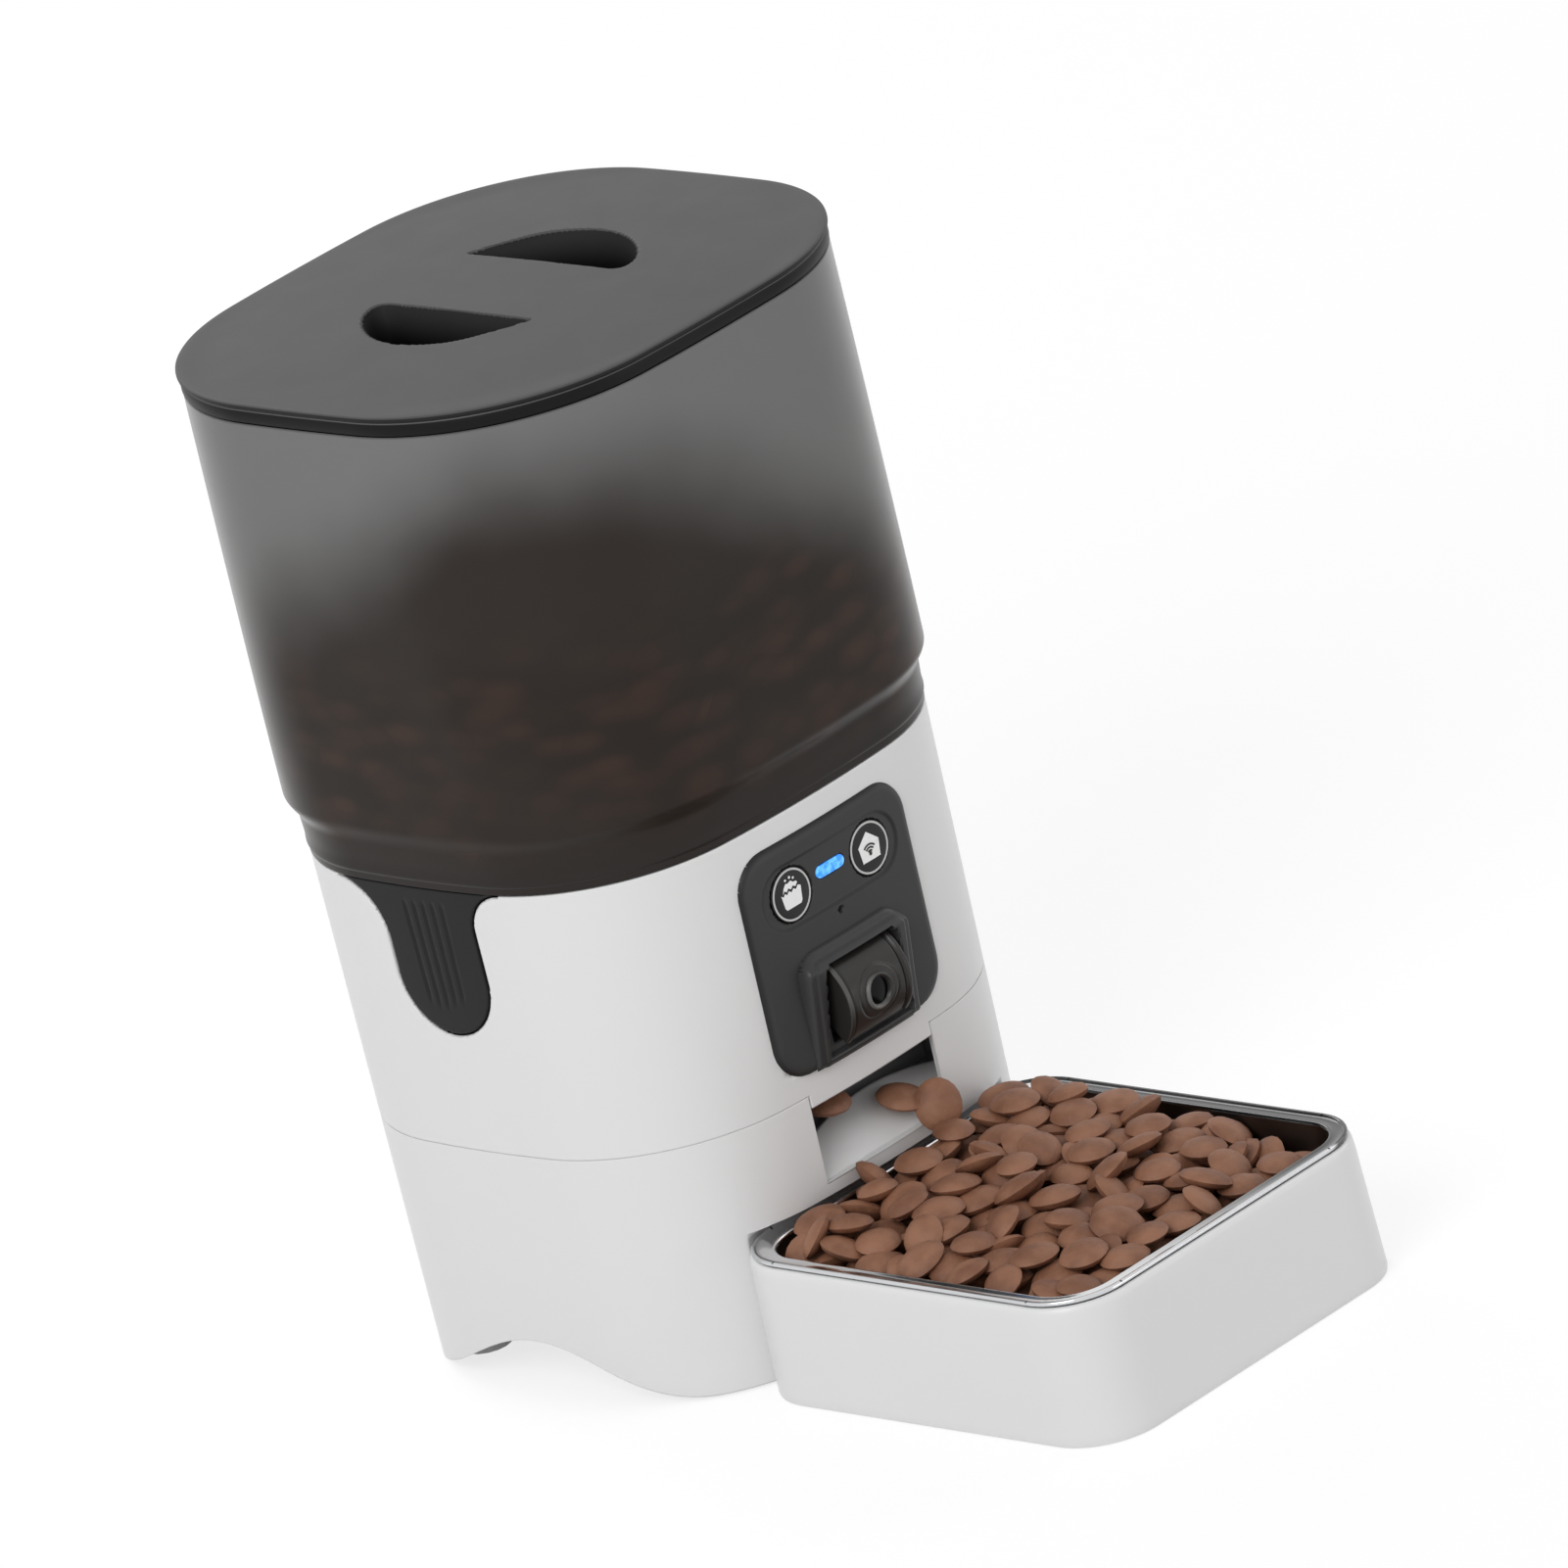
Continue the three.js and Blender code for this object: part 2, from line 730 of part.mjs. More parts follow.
function makeAgitator() {
  const bottom = rotorTop + rotor.floorGap + cover.thickness + fit.slide;
  const hub = upright(circle(agitator.hubRadius, steps.small, 0, drum.y), bottom, bottom + agitator.height);
  const arms = Array.from({ length: agitator.armCount }, (_, i) => {
    const angle = (i * 2 * Math.PI) / agitator.armCount;
    const [c, s] = [Math.cos(angle), Math.sin(angle)];
    const half = agitator.armThickness / 2;
    const bend = agitator.armThickness;
    const reach = agitator.armLength;
    const corners = [[0, -half], [reach, bend - half], [reach, bend + half], [0, half]];
    return upright(corners.map(([x, y]) => [x * c - y * s, drum.y + x * s + y * c]),
      bottom, bottom + agitator.armHeight);
  });
  const bore = upright(circle(rotor.postRadius + fit.gap, steps.small, 0, drum.y),
    bottom - fit.overrun, bottom + agitator.height + fit.overrun);
  return cut(join(hub, ...arms), bore);
}

// Base shells

const windowOutline = (offset) => roundedBox(
  -panel.halfWidth + panel.windowMargin - offset, panel.halfWidth - panel.windowMargin + offset,
  panelBottom + panel.windowMargin - offset, panelTop - panel.windowMargin + offset,
  panel.cornerRadius - panel.windowMargin + offset,
);

// tongue seen from the side: straight flanks, a round foot and flares that run out into the seam
function latchOutline(offset) {
  const half = latch.halfWidth;
  const top = base.height - fit.gap;
  const flare = latch.flareRadius;
  const arc = (cx, cz, radius, a0, a1, count) => Array.from({ length: count + 1 }, (_, i) => {
    const angle = a0 + ((a1 - a0) * i) / count;
    return [cx + radius * Math.cos(angle), cz + radius * Math.sin(angle)];
  });
  const quarter = Math.PI / 2;
  const sweep = quarter * latch.flareShare;
  const outline = [
    ...arc(0, latchBottom + half, half, -2 * quarter, 0, steps.small),
    ...arc(half + flare, top - flare, flare, 2 * quarter, 2 * quarter - sweep, steps.corner),
    [half + flare * (1 - Math.cos(sweep)), top],
    [-half - flare * (1 - Math.cos(sweep)), top],
    ...arc(-half - flare, top - flare, flare, sweep, 0, steps.corner),
  ];
  return grow(outline, offset);
}

// how far out the inner end of a latch's plunger lies
const latchInner = base.halfWidth - base.draftShare * latch.length - latch.thickness - latch.plungerDepth;

const latchCut = (side) => {
  const inner = base.halfWidth - base.wall - latch.plungerDepth - latch.travel;
  const outline = latchOutline(latch.gap)
    .map(([y, z]) => [y, z >= base.height - fit.gap ? z + fit.overrun : z]);
  const outer = base.halfWidth + fit.overrun;
  return side > 0 ? sideways(outline, inner, outer) : sideways(outline, -outer, -inner);
};

function trayOutline(share, offset) {
  const mix = (bottom, top) => bottom + (top - bottom) * share;
  const half = mix(tray.bottomHalfWidth, tray.topHalfWidth) + offset;
  const front = mix(trayFrontY, trayTopY) - offset;
  return roundedBox(-half, half, front, trayRearY + offset, tray.cornerRadius + offset);
}

const trayLoft = (offset, z0, z1) => loft([
  { outline: trayOutline(z0 / tray.height, offset), z: z0 },
  { outline: trayOutline(z1 / tray.height, offset), z: z1 },
]);

const nicheTop = tray.height + bowl.rimThickness + fit.gap + tray.rimRoom;

function makeUpperShell() {
  const bottom = base.splitHeight + fit.seam / 2;
  const deckUnder = base.height - base.deckThickness;
  const outer = baseLoft(bottom, base.height);
  const inner = loft([
    { outline: baseOutline(bottom - fit.overrun, -base.wall), z: bottom - fit.overrun },
    { outline: baseOutline(deckUnder, -base.wall), z: deckUnder },
  ]);
  const drumHole = upright(circle(drumOuter + fit.slide, steps.round, 0, drum.y),
    deckUnder - fit.overrun, base.height + fit.overrun);
  // the strip that closes the outlet from above
  const stripBottom = mouthTop;
  const strip = common(
    block(-chute.halfWidth, chute.halfWidth, -base.halfDepth, -base.halfDepth / 2, stripBottom,
      bottom + fit.overrun),
    cut(baseLoft(stripBottom, bottom + fit.overrun),
      baseLoft(stripBottom - fit.overrun, bottom + 2 * fit.overrun, -base.wall)),
  );
  const window = frontal(windowOutline(0), -base.halfDepth - fit.overrun, -base.halfDepth / 2);
  const grille = Array.from({ length: speaker.slotCount }, (_, i) => {
    const x = (i - (speaker.slotCount - 1) / 2) * speaker.slotPitch;
    return block(x - speaker.slotWidth / 2, x + speaker.slotWidth / 2, base.halfDepth / 2,
      base.halfDepth + fit.overrun, speakerHeight - speaker.slotLength / 2,
      speakerHeight + speaker.slotLength / 2);
  });
  return cut(join(cut(outer, inner), strip), drumHole, window, latchCut(1), latchCut(-1), ...grille);
}

function makeLowerShell() {
  const top = base.splitHeight - fit.seam / 2;
  const outer = baseLoft(base.floorGap, top);
  const innerBottom = base.floorGap - fit.overrun;
  const inner = loft([
    { outline: baseOutline(innerBottom, -base.wall), z: innerBottom },
    { outline: baseOutline(top + fit.overrun, -base.wall), z: top + fit.overrun },
  ]);
  const bosses = corners.map(([sx, sy]) => {
    const bossBottom = plate.bottomHeight + plate.thickness + fit.gap;
    const post = upright(circle(screw.bossRadius, steps.small, sx * footX, sy * footY),
      bossBottom, screw.bossTop);
    const half = screw.bossRadius / 2;
    const reach = base.halfWidth;
    const web = sx > 0
      ? block(footX, reach, sy * footY - half, sy * footY + half, bossBottom, screw.bossTop)
      : block(-reach, -footX, sy * footY - half, sy * footY + half, bossBottom, screw.bossTop);
    return common(join(post, web), outer);
  });
  const holes = corners.map(([sx, sy]) => upright(
    circle(foot.shank + fit.gap, steps.tiny, sx * footX, sy * footY), 0,
    screw.seatHeight + screw.length + screw.tipRoom));
  const archPoints = Array.from({ length: steps.arch + 1 }, (_, i) => {
    const y = base.archHalfSpan * (1 - (2 * i) / steps.arch);
    return [y, base.archHeight * (1 + Math.cos((Math.PI * y) / base.archHalfSpan)) / 2 + base.floorGap];
  });
  const span = base.archHalfSpan;
  const arch = sideways([[-span, -fit.overrun], [span, -fit.overrun], ...archPoints],
    -base.halfWidth - fit.overrun, base.halfWidth + fit.overrun);
  const mouth = block(-chute.halfWidth, chute.halfWidth, -base.halfDepth - fit.overrun, -base.halfDepth / 2,
    mouthBottom, top + fit.overrun);
  const stripGap = block(-chute.halfWidth - fit.gap, chute.halfWidth + fit.gap, -base.halfDepth - fit.overrun,
    -base.halfDepth / 2, mouthTop - fit.gap, top + fit.overrun);
  const socketHole = frontal(circle(socket.holeRadius + fit.gap, steps.small, 0, socket.centreHeight),
    base.halfDepth / 2, base.halfDepth + fit.overrun);
  const trayRoom = trayLoft(fit.slide, -fit.overrun, nicheTop);
  const door = block(-tray.doorHalfWidth, tray.doorHalfWidth, -base.halfDepth - fit.overrun,
    -base.halfDepth / 2, -fit.overrun, nicheTop);
  const wallRing = cut(outer, inner);
  return cut(join(wallRing, ...bosses), trayRoom, door, ...holes, arch, mouth, stripGap, socketHole);
}

// the liner behind the lower shell's front opening, which the tray slides into
function makeTrayDock() {
  const block = common(
    baseLoft(base.floorGap, nicheTop + tray.nicheRoof, -base.wall - fit.gap),
    trayLoft(fit.slide + base.wall, base.floorGap, nicheTop + tray.nicheRoof),
  );
  return cut(block, trayLoft(fit.slide, -fit.overrun, nicheTop));
}

function makeBottomPlate() {
  const z0 = plate.bottomHeight;
  const z1 = z0 + plate.thickness;
  const sheet = cut(baseLoft(z0, z1, -base.wall - fit.gap),
    trayLoft(fit.slide + base.wall + fit.gap, z0 - fit.overrun, z1 + fit.overrun));
  const bayShell = block(-bay.halfWidth, bay.halfWidth, bayFrontY, bayBackY, z0, bayTop + bay.wall);
  const bayRoom = block(-bayInnerHalf, bayInnerHalf, bayFrontY + bay.wall, bayBackY - bay.wall,
    z0 - fit.overrun, bayTop);
  const legBottom = foot.height + fit.gap;
  const legs = corners.map(([sx, sy]) => upright(
    circle(foot.legRadius, steps.small, sx * footX, sy * footY), legBottom, z0 + plate.thickness / 2));
  const bores = corners.map(([sx, sy]) => join(
    upright(circle(foot.shank + fit.gap, steps.tiny, sx * footX, sy * footY), 0, z1 + fit.overrun),
    upright(circle(screw.counterbore, steps.tiny, sx * footX, sy * footY), 0, screw.seatHeight),
  ));
  return cut(join(sheet, bayShell, ...legs), bayRoom, ...bores);
}

function makeBatteryCover() {
  const x = bayInnerHalf - fit.gap;
  return block(-x, x, bayFrontY + bay.wall + fit.gap, bayBackY - bay.wall - fit.gap,
    plate.bottomHeight, coverTop);
}

function makeCell(place) {
  const x = place * cell.pitch;
  const z = coverTop + fit.gap + cell.radius;
  const y0 = bayFrontY + bay.wall + contact.thickness + 2 * fit.gap;
  const can = frontal(circle(cell.radius, steps.round, x, z), y0, y0 + cell.length);
  const cap = frontal(circle(cell.capRadius, steps.tiny, x, z), y0 + cell.length - cell.capLength,
    y0 + cell.length + cell.capLength);
  return join(can, cap);
}

function makeContact(atBack) {
  const x = bayInnerHalf - fit.gap;
  const y = atBack ? bayBackY - bay.wall - fit.gap - contact.thickness : bayFrontY + bay.wall + fit.gap;
  return block(-x, x, y, y + contact.thickness, coverTop + fit.gap, coverTop + fit.gap + contact.height);
}

const makeFoot = ([sx, sy]) => upright(
  circle(foot.radius, steps.small, sx * footX, sy * footY), 0, foot.height);

function makeScrew([sx, sy]) {
  const top = screw.seatHeight - fit.gap;
  const ring = (radius) => circle(radius, steps.tiny, sx * footX, sy * footY);
  return join(
    upright(ring(foot.screwHead), top - foot.screwHeadHeight, top),
    upright(ring(foot.shank), top - foot.screwHeadHeight / 2, top + screw.length),
  );
}

// Inside the base

function makeInnerDeck() {
  const sheet = baseLoft(deckBottom, deckTop, -base.wall - fit.gap);
  const front = block(-base.halfWidth, base.halfWidth, -base.halfDepth, deckFrontY,
    deckBottom - fit.overrun, deckTop + fit.overrun);
  const side = chute.halfWidth + chute.wall + fit.gap;
  const throat = block(-side, side, chuteFrontAt(deckBottom) - chute.wall - fit.slide,
    chuteBackY + chute.wall + fit.gap, deckBottom - fit.overrun, deckTop + fit.overrun);
  const shaft = upright(circle(gear.shaftRadius + fit.slide, steps.small, 0, drum.y),
    deckBottom - fit.overrun, deckTop + fit.overrun);
  // notches that the pressed latches move into
  const notchFloor = latchInner - latch.travel - fit.slide;
  const notchHalf = latch.halfWidth + fit.slide;
  const notches = [block(notchFloor, base.halfWidth, -notchHalf, notchHalf, deckBottom - fit.overrun,
    deckTop + fit.overrun), block(-base.halfWidth, -notchFloor, -notchHalf, notchHalf,
    deckBottom - fit.overrun, deckTop + fit.overrun)];
  return cut(sheet, front, throat, shaft, ...notches);
}

// the slanted food passage seen from the side; the mouth and throat can be drawn longer
function passageOutline(stretch) {
  const mouthY = -(base.halfDepth - base.wall - base.draftShare * base.height) + fit.gap;
  const slope = (slopeTop - mouthBottom) / (chuteBackY - mouthY);
  const roof = (kneeHeight - mouthTop) / (kneeY - mouthY);
  return [
    [mouthY - stretch, mouthBottom - stretch * slope],
    [chuteBackY, slopeTop],
    [chuteBackY, chuteTop + stretch],
    [throatFrontY, chuteTop + stretch],
    [throatFrontY, chuteTop],
    [kneeY, kneeHeight],
    [mouthY - stretch, mouthTop - stretch * roof],
  ];
}

function chuteFrontAt(z) {
  const share = (z - kneeHeight) / (chuteTop - kneeHeight);
  return kneeY + (throatFrontY - kneeY) * share;
}

function makeChute() {
  const outline = passageOutline(fit.overrun);
  const side = chute.halfWidth + chute.wall;
  const outer = sideways(grow(outline, chute.wall), -side, side);
  const passage = sideways(passageOutline(2 * fit.overrun), -chute.halfWidth, chute.halfWidth);
  const trim = baseLoft(fit.overrun, chuteTop, -base.wall - fit.gap);
  return common(cut(outer, passage), trim);
}

function makeFoodSensor(side) {
  const x0 = chute.halfWidth + chute.wall + fit.gap;
  const [low, high] = side > 0 ? [x0, x0 + sensor.depth] : [-x0 - sensor.depth, -x0];
  const y = kneeY - sensor.along / 2;
  const z = (kneeHeight + mouthTop) / 2 - sensor.width;
  return block(low, high, y, y + sensor.width, z, z + sensor.height);
}

function gearOutline(teeth, cx, cy, firstTooth) {
  const pitch = (gear.module * teeth) / 2;
  const tip = pitch + gear.module;
  const root = pitch - gear.module * gear.dedendumShare;
  const step = (2 * Math.PI) / teeth;
  const toothShares = [[root, -0.3], [tip, -0.12], [tip, 0.12], [root, 0.3]];
  return Array.from({ length: teeth }, (_, i) => toothShares.map(([radius, share]) => {
    const angle = firstTooth + (i + share) * step;
    return [cx + radius * Math.cos(angle), cy + radius * Math.sin(angle)];
  })).flat();
}

const gearBottom = gearboxBottom + gearbox.wall + gear.floorGap;

function makeDriveGear() {
  const teeth = gearOutline(gear.driveTeeth, 0, drum.y, Math.PI / 2);
  const wheel = upright(teeth, gearBottom, gearBottom + gear.width);
  const shaftTop = drumFloor - fit.gap;
  const shaft = upright(circle(gear.shaftRadius, steps.small, 0, drum.y), gearBottom, shaftTop);
  const dogTop = rotorBottom + rotor.socketDepth - fit.slide;
  const dog = upright(circle(rotor.dogRadius, steps.dog, 0, drum.y), gearBottom, dogTop);
  return join(wheel, shaft, dog);
}

function makeMotorPinion() {
  const halfTooth = Math.PI / gear.pinionTeeth;
  const wheel = upright(gearOutline(gear.pinionTeeth, 0, pinionY, halfTooth - Math.PI / 2), gearBottom,
    gearBottom + gear.width);
  const shaft = upright(circle(gear.pinionShaftRadius, steps.tiny, 0, pinionY),
    gearboxBottom - motor.noseRadius, gearBottom + gear.width);
  return join(wheel, shaft);
}

function makeGearboxCase() {
  const top = gearboxTop - gearbox.lidThickness - fit.gap;
  const w = gearbox.wall;
  const half = gearbox.halfWidth;
  const outer = block(-half, half, gearboxFrontY, gearboxBackY, gearboxBottom, top);
  const room = block(-gearbox.halfWidth + w, gearbox.halfWidth - w, gearboxFrontY + w, gearboxBackY - w,
    gearboxBottom + w, top + fit.overrun);
  const hole = upright(circle(gear.pinionShaftRadius + fit.gap, steps.tiny, 0, pinionY),
    gearboxBottom - fit.overrun, gearboxBottom + w + fit.overrun);
  return cut(outer, room, hole);
}

function makeGearboxCover() {
  const lidPlate = block(-gearbox.halfWidth, gearbox.halfWidth, gearboxFrontY, gearboxBackY,
    gearboxTop - gearbox.lidThickness, gearboxTop);
  const hole = upright(circle(gear.shaftRadius + fit.gap, steps.small, 0, drum.y),
    gearboxTop - gearbox.lidThickness - fit.overrun, gearboxTop + fit.overrun);
  return cut(lidPlate, hole);
}

function makeMotor() {
  const top = gearboxBottom - fit.gap;
  const can = upright(circle(motor.radius, steps.round, 0, pinionY), top - motor.height, top);
  const bore = upright(circle(gear.pinionShaftRadius + fit.gap, steps.tiny, 0, pinionY),
    top - motor.noseRadius - fit.slide, top + fit.overrun);
  return cut(can, bore);
}

function makeSpeaker() {
  const backY = -frontFaceY(speaker.radius, speakerHeight - speaker.radius, -base.wall) - fit.gap;
  const y0 = backY - speaker.depth;
  const cone = frontal(circle(speaker.radius, steps.round, 0, speakerHeight), y0 + speaker.depth / 2, backY);
  const magnet = frontal(circle(speaker.radius / 2, steps.small, 0, speakerHeight), y0,
    y0 + speaker.depth / 2 + fit.gap);
  return join(cone, magnet);
}

function makePowerSocket() {
  const backY = -frontFaceY(socket.halfWidth, socket.centreHeight - socket.height / 2, -base.wall) - fit.gap;
  const y0 = backY - socket.depth;
  const z = socket.centreHeight;
  const half = socket.height / 2;
  const body = block(-socket.halfWidth, socket.halfWidth, y0, backY, z - half, z + half);
  const nose = frontal(circle(socket.holeRadius, steps.small, 0, z), backY - fit.overrun, backY + base.wall);
  const bore = frontal(circle(socket.holeRadius - socket.pinRadius, steps.small, 0, z),
    y0 + socket.depth / 2, backY + base.wall + fit.overrun);
  const pin = frontal(circle(socket.pinRadius, steps.tiny, 0, z), y0 + socket.depth / 4, backY);
  return join(cut(join(body, nose), bore), pin);
}

// Front panel

const panelOutline = (offset) => roundedBox(-panel.halfWidth - offset, panel.halfWidth + offset,
  panelBottom - offset, panelTop + offset, panel.cornerRadius + offset);

// all that lies behind a face that follows the shell's front at an offset
const behindFace = (offset) => baseLoft(panelBottom - fit.overrun, panelTop + fit.overrun, offset);

const frontBlock = (outline, backY) => frontal(outline, -base.halfDepth - 3 * fit.overrun, backY);

const stadium = (halfLength, radius, height, offset = 0) => roundedBox(
  -halfLength - offset, halfLength + offset,
  height - radius - offset, height + radius + offset, radius + offset,
);

function makeFrontPanel() {
  const middleY = -base.halfDepth / 2;
  const rim = common(frontBlock(panelOutline(0), middleY), behindFace(panel.proud - panel.softEdge));
  const face = common(frontBlock(panelOutline(-panel.softEdge), middleY), behindFace(panel.proud));
  const skin = cut(join(rim, face), behindFace(fit.gap));
  const plug = common(frontBlock(windowOutline(-fit.gap), panelBackY), behindFace(panel.proud / 2));
  const bossX = board.halfWidth - panel.bossRadius;
  const bossZ = [boardBottom + panel.bossRadius, boardTop - panel.bossRadius];
  const bosses = bossZ.flatMap((z) => [-bossX, bossX].map((x) => frontal(
    circle(panel.bossRadius, steps.tiny, x, z), panelBackY - fit.overrun / 3, boardY - fit.gap)));
  const recess = cut(frontBlock(stadium(panel.recessHalfLength, panel.recessRadius, buttonHeight),
    -base.halfDepth / 2), behindFace(panel.proud - panel.recessDepth));
  const buttonHoles = [-1, 1].map((side) => frontBlock(
    circle(button.radius + fit.gap, steps.round, side * button.halfSpacing, buttonHeight),
    panelBackY + fit.overrun));
  const lightHole = frontBlock(stadium(light.halfLength, light.radius, lightHeight, fit.gap),
    panelBackY + fit.overrun);
  const micHole = frontBlock(circle(mic.holeRadius, steps.tiny, 0, micHeight), panelBackY + fit.overrun);
  const sensorHole = frontBlock(circle(lamp.radius + fit.gap, steps.tiny, lamp.x, lampHeight),
    panelBackY + fit.overrun);
  const x = camera.halfWidth + camera.runningGap;
  const window = block(-x, x, -base.halfDepth - fit.overrun * 3, panelBackY + fit.overrun,
    cameraHeight - camera.windowDown, cameraHeight + camera.windowUp);
  return cut(join(skin, plug, ...bosses), recess, ...buttonHoles, lightHole, micHole, sensorHole, window);
}

function makeButton(side) {
  const faceY = frontFaceY(button.halfSpacing, buttonHeight, panel.proud - panel.recessDepth) - button.proud;
  const ring = (radius) => circle(radius, steps.round, side * button.halfSpacing, buttonHeight);
  const flangeFront = panelBackY + fit.gap;
  return join(
    frontal(ring(button.radius), faceY, flangeFront + button.travel),
    frontal(ring(button.radius + button.flange), flangeFront, flangeFront + button.travel),
    frontal(ring(button.stemRadius), flangeFront, boardY - button.travel - fit.gap),
  );
}

function makeStatusLight() {
  const faceY = frontFaceY(0, lightHeight, panel.proud - panel.recessDepth) - button.proud;
  return frontal(stadium(light.halfLength, light.radius, lightHeight), faceY, boardY - fit.slide);
}

const makeMicrophone = () => frontal(circle(mic.radius, steps.small, 0, micHeight), panelBackY + fit.gap,
  panelBackY + fit.gap + mic.length);

function makeLightSensor() {
  const faceY = frontFaceY(lamp.x, lampHeight, panel.proud);
  return frontal(circle(lamp.radius, steps.tiny, lamp.x, lampHeight), faceY, panelBackY + lamp.length);
}

const makeMainBoard = () => block(-board.halfWidth, board.halfWidth, boardY, boardY + board.thickness,
  boardBottom, boardTop);

// Camera

const drumFrontY = cameraY - camera.radius;

function makeCameraHood() {
  const face = -base.halfDepth + base.draftShare * (base.height - cameraHeight) - panel.proud;
  const profile = [
    [face + fit.overrun, hoodBottom],
    [face + fit.overrun, hoodTop],
    [face, hoodTop],
    [face - hood.lipProud, lipHeight],
    [face - hood.footProud, hoodBottom],
  ];
  const wedge = sideways(profile, -hood.halfWidth, hood.halfWidth);
  const rounded = frontBlock(roundedBox(-hood.halfWidth, hood.halfWidth, hoodBottom - 2 * hood.cornerRadius,
    hoodTop, hood.cornerRadius), -base.halfDepth / 2);
  const wide = hood.mouthHalfWidth + hood.mouthFlare;
  const mouth = frontBlock([
    [-wide, hoodMouthBottom], [wide, hoodMouthBottom],
    [hood.mouthHalfWidth, lipHeight], [-hood.mouthHalfWidth, lipHeight],
  ], -base.halfDepth / 2);
  const x = camera.halfWidth + camera.runningGap;
  const sweep = sideways(circle(camera.radius + camera.runningGap, steps.round, cameraY, cameraHeight),
    -x, x);
  return cut(common(wedge, rounded), behindFace(panel.proud + fit.gap), mouth, sweep);
}

function makeCameraDrum() {
  const sector = (radius) => {
    const arc = Array.from({ length: steps.round / 2 + 1 }, (_, i) => {
      const share = (2 * i) / steps.round;
      const angle = THREE.MathUtils.degToRad(camera.sectorUp - (camera.sectorUp + camera.sectorDown) * share);
      return [cameraY - radius * Math.cos(angle), cameraHeight + radius * Math.sin(angle)];
    });
    return [...arc, [cameraY, cameraHeight - camera.hubRadius],
      [cameraY, cameraHeight + camera.hubRadius]];
  };
  const x = camera.halfWidth;
  const body = join(
    sideways(sector(camera.radius - camera.chamfer), -x, x),
    sideways(sector(camera.radius), -x + camera.chamfer, x - camera.chamfer),
    sideways(circle(camera.hubRadius, steps.small, cameraY, cameraHeight), -x, x),
    sideways(circle(camera.pinRadius, steps.small, cameraY, cameraHeight),
      -x - camera.pinLength, x + camera.pinLength),
  );
  const lensSeat = frontal(circle(camera.lensRadius + fit.gap, steps.round, 0, cameraHeight),
    drumFrontY - fit.overrun, drumFrontY + camera.lensDepth);
  return cut(body, lensSeat);
}

function makeLensBarrel() {
  const front = drumFrontY - camera.lensProud;
  const ring = (radius) => circle(radius, steps.round, 0, cameraHeight);
  return cut(
    frontal(ring(camera.lensRadius), front, drumFrontY + camera.lensDepth - fit.gap),
    frontal(ring(camera.glassRadius + fit.gap), front - fit.overrun, front + camera.glassDepth * 2),
  );
}

function makeLensGlass() {
  const back = drumFrontY - camera.lensProud + camera.glassDepth * 2 - fit.gap;
  return frontal(circle(camera.glassRadius, steps.round, 0, cameraHeight), back - camera.glassDepth, back);
}

function makeCameraBracket() {
  const earInner = camera.halfWidth + camera.runningGap;
  const earOuter = earInner + bracket.earThickness;
  const front = panelBackY + fit.gap;
  const back = cameraY + camera.hubRadius + fit.slide;
  const z0 = cameraHeight - bracket.earHeight / 2;
  const z1 = z0 + bracket.earHeight;
  const whole = block(-earOuter, earOuter, front, back + bracket.backThickness, z0, z1);
  const room = block(-earInner, earInner, front - fit.overrun, back, z0 - fit.overrun, z1 + fit.overrun);
  const pinHole = sideways(circle(camera.pinRadius + camera.pinGap, steps.small, cameraY, cameraHeight),
    -earOuter - fit.overrun, earOuter + fit.overrun);
  return cut(whole, room, pinHole);
}

// Latches

function makeLatch(side) {
  const skin = cut(
    common(
      sideways(latchOutline(0), side > 0 ? 0 : -base.halfWidth * 2, side > 0 ? base.halfWidth * 2 : 0),
      baseLoft(latchBottom - fit.overrun, base.height, -fit.gap / 2),
    ),
    baseLoft(latchBottom - 2 * fit.overrun, base.height + fit.overrun, -latch.thickness),
  );
  const grooves = Array.from({ length: latch.ribCount }, (_, i) => {
    const y = (i - (latch.ribCount - 1) / 2) * latch.ribPitch;
    return cut(
      block(-base.halfWidth - fit.overrun, base.halfWidth + fit.overrun, y - latch.ribWidth / 2,
        y + latch.ribWidth / 2, latchBottom + latch.ribMargin, base.height - latch.ribMargin),
      baseLoft(latchBottom, base.height, -latch.ribDepth),
    );
  });
  const face = latchInner + latch.plungerDepth;
  const inner = latchInner;
  const z0 = latchBottom + latch.halfWidth;
  const plunger = block(side > 0 ? inner : -face - fit.slide, side > 0 ? face + fit.slide : -inner,
    -latch.plungerWidth / 2, latch.plungerWidth / 2, z0, z0 + latch.plungerHeight);
  return cut(join(skin, plunger), ...grooves);
}

// Tray and bowl

function makeTray() {
  const outer = loft([
    { outline: trayOutline(0, -tray.edgeRound / 2), z: 0 },
    { outline: trayOutline(0, 0), z: tray.edgeRound },
    { outline: trayOutline(1, 0), z: tray.height - tray.edgeRound },
    { outline: trayOutline(1, -tray.edgeRound / 2), z: tray.height },
  ]);
  const room = loft([
    { outline: trayOutline(0, -tray.wall), z: tray.floor },
    { outline: trayOutline(1, -tray.wall), z: tray.height + fit.overrun },
  ]);
  return cut(outer, room);
}

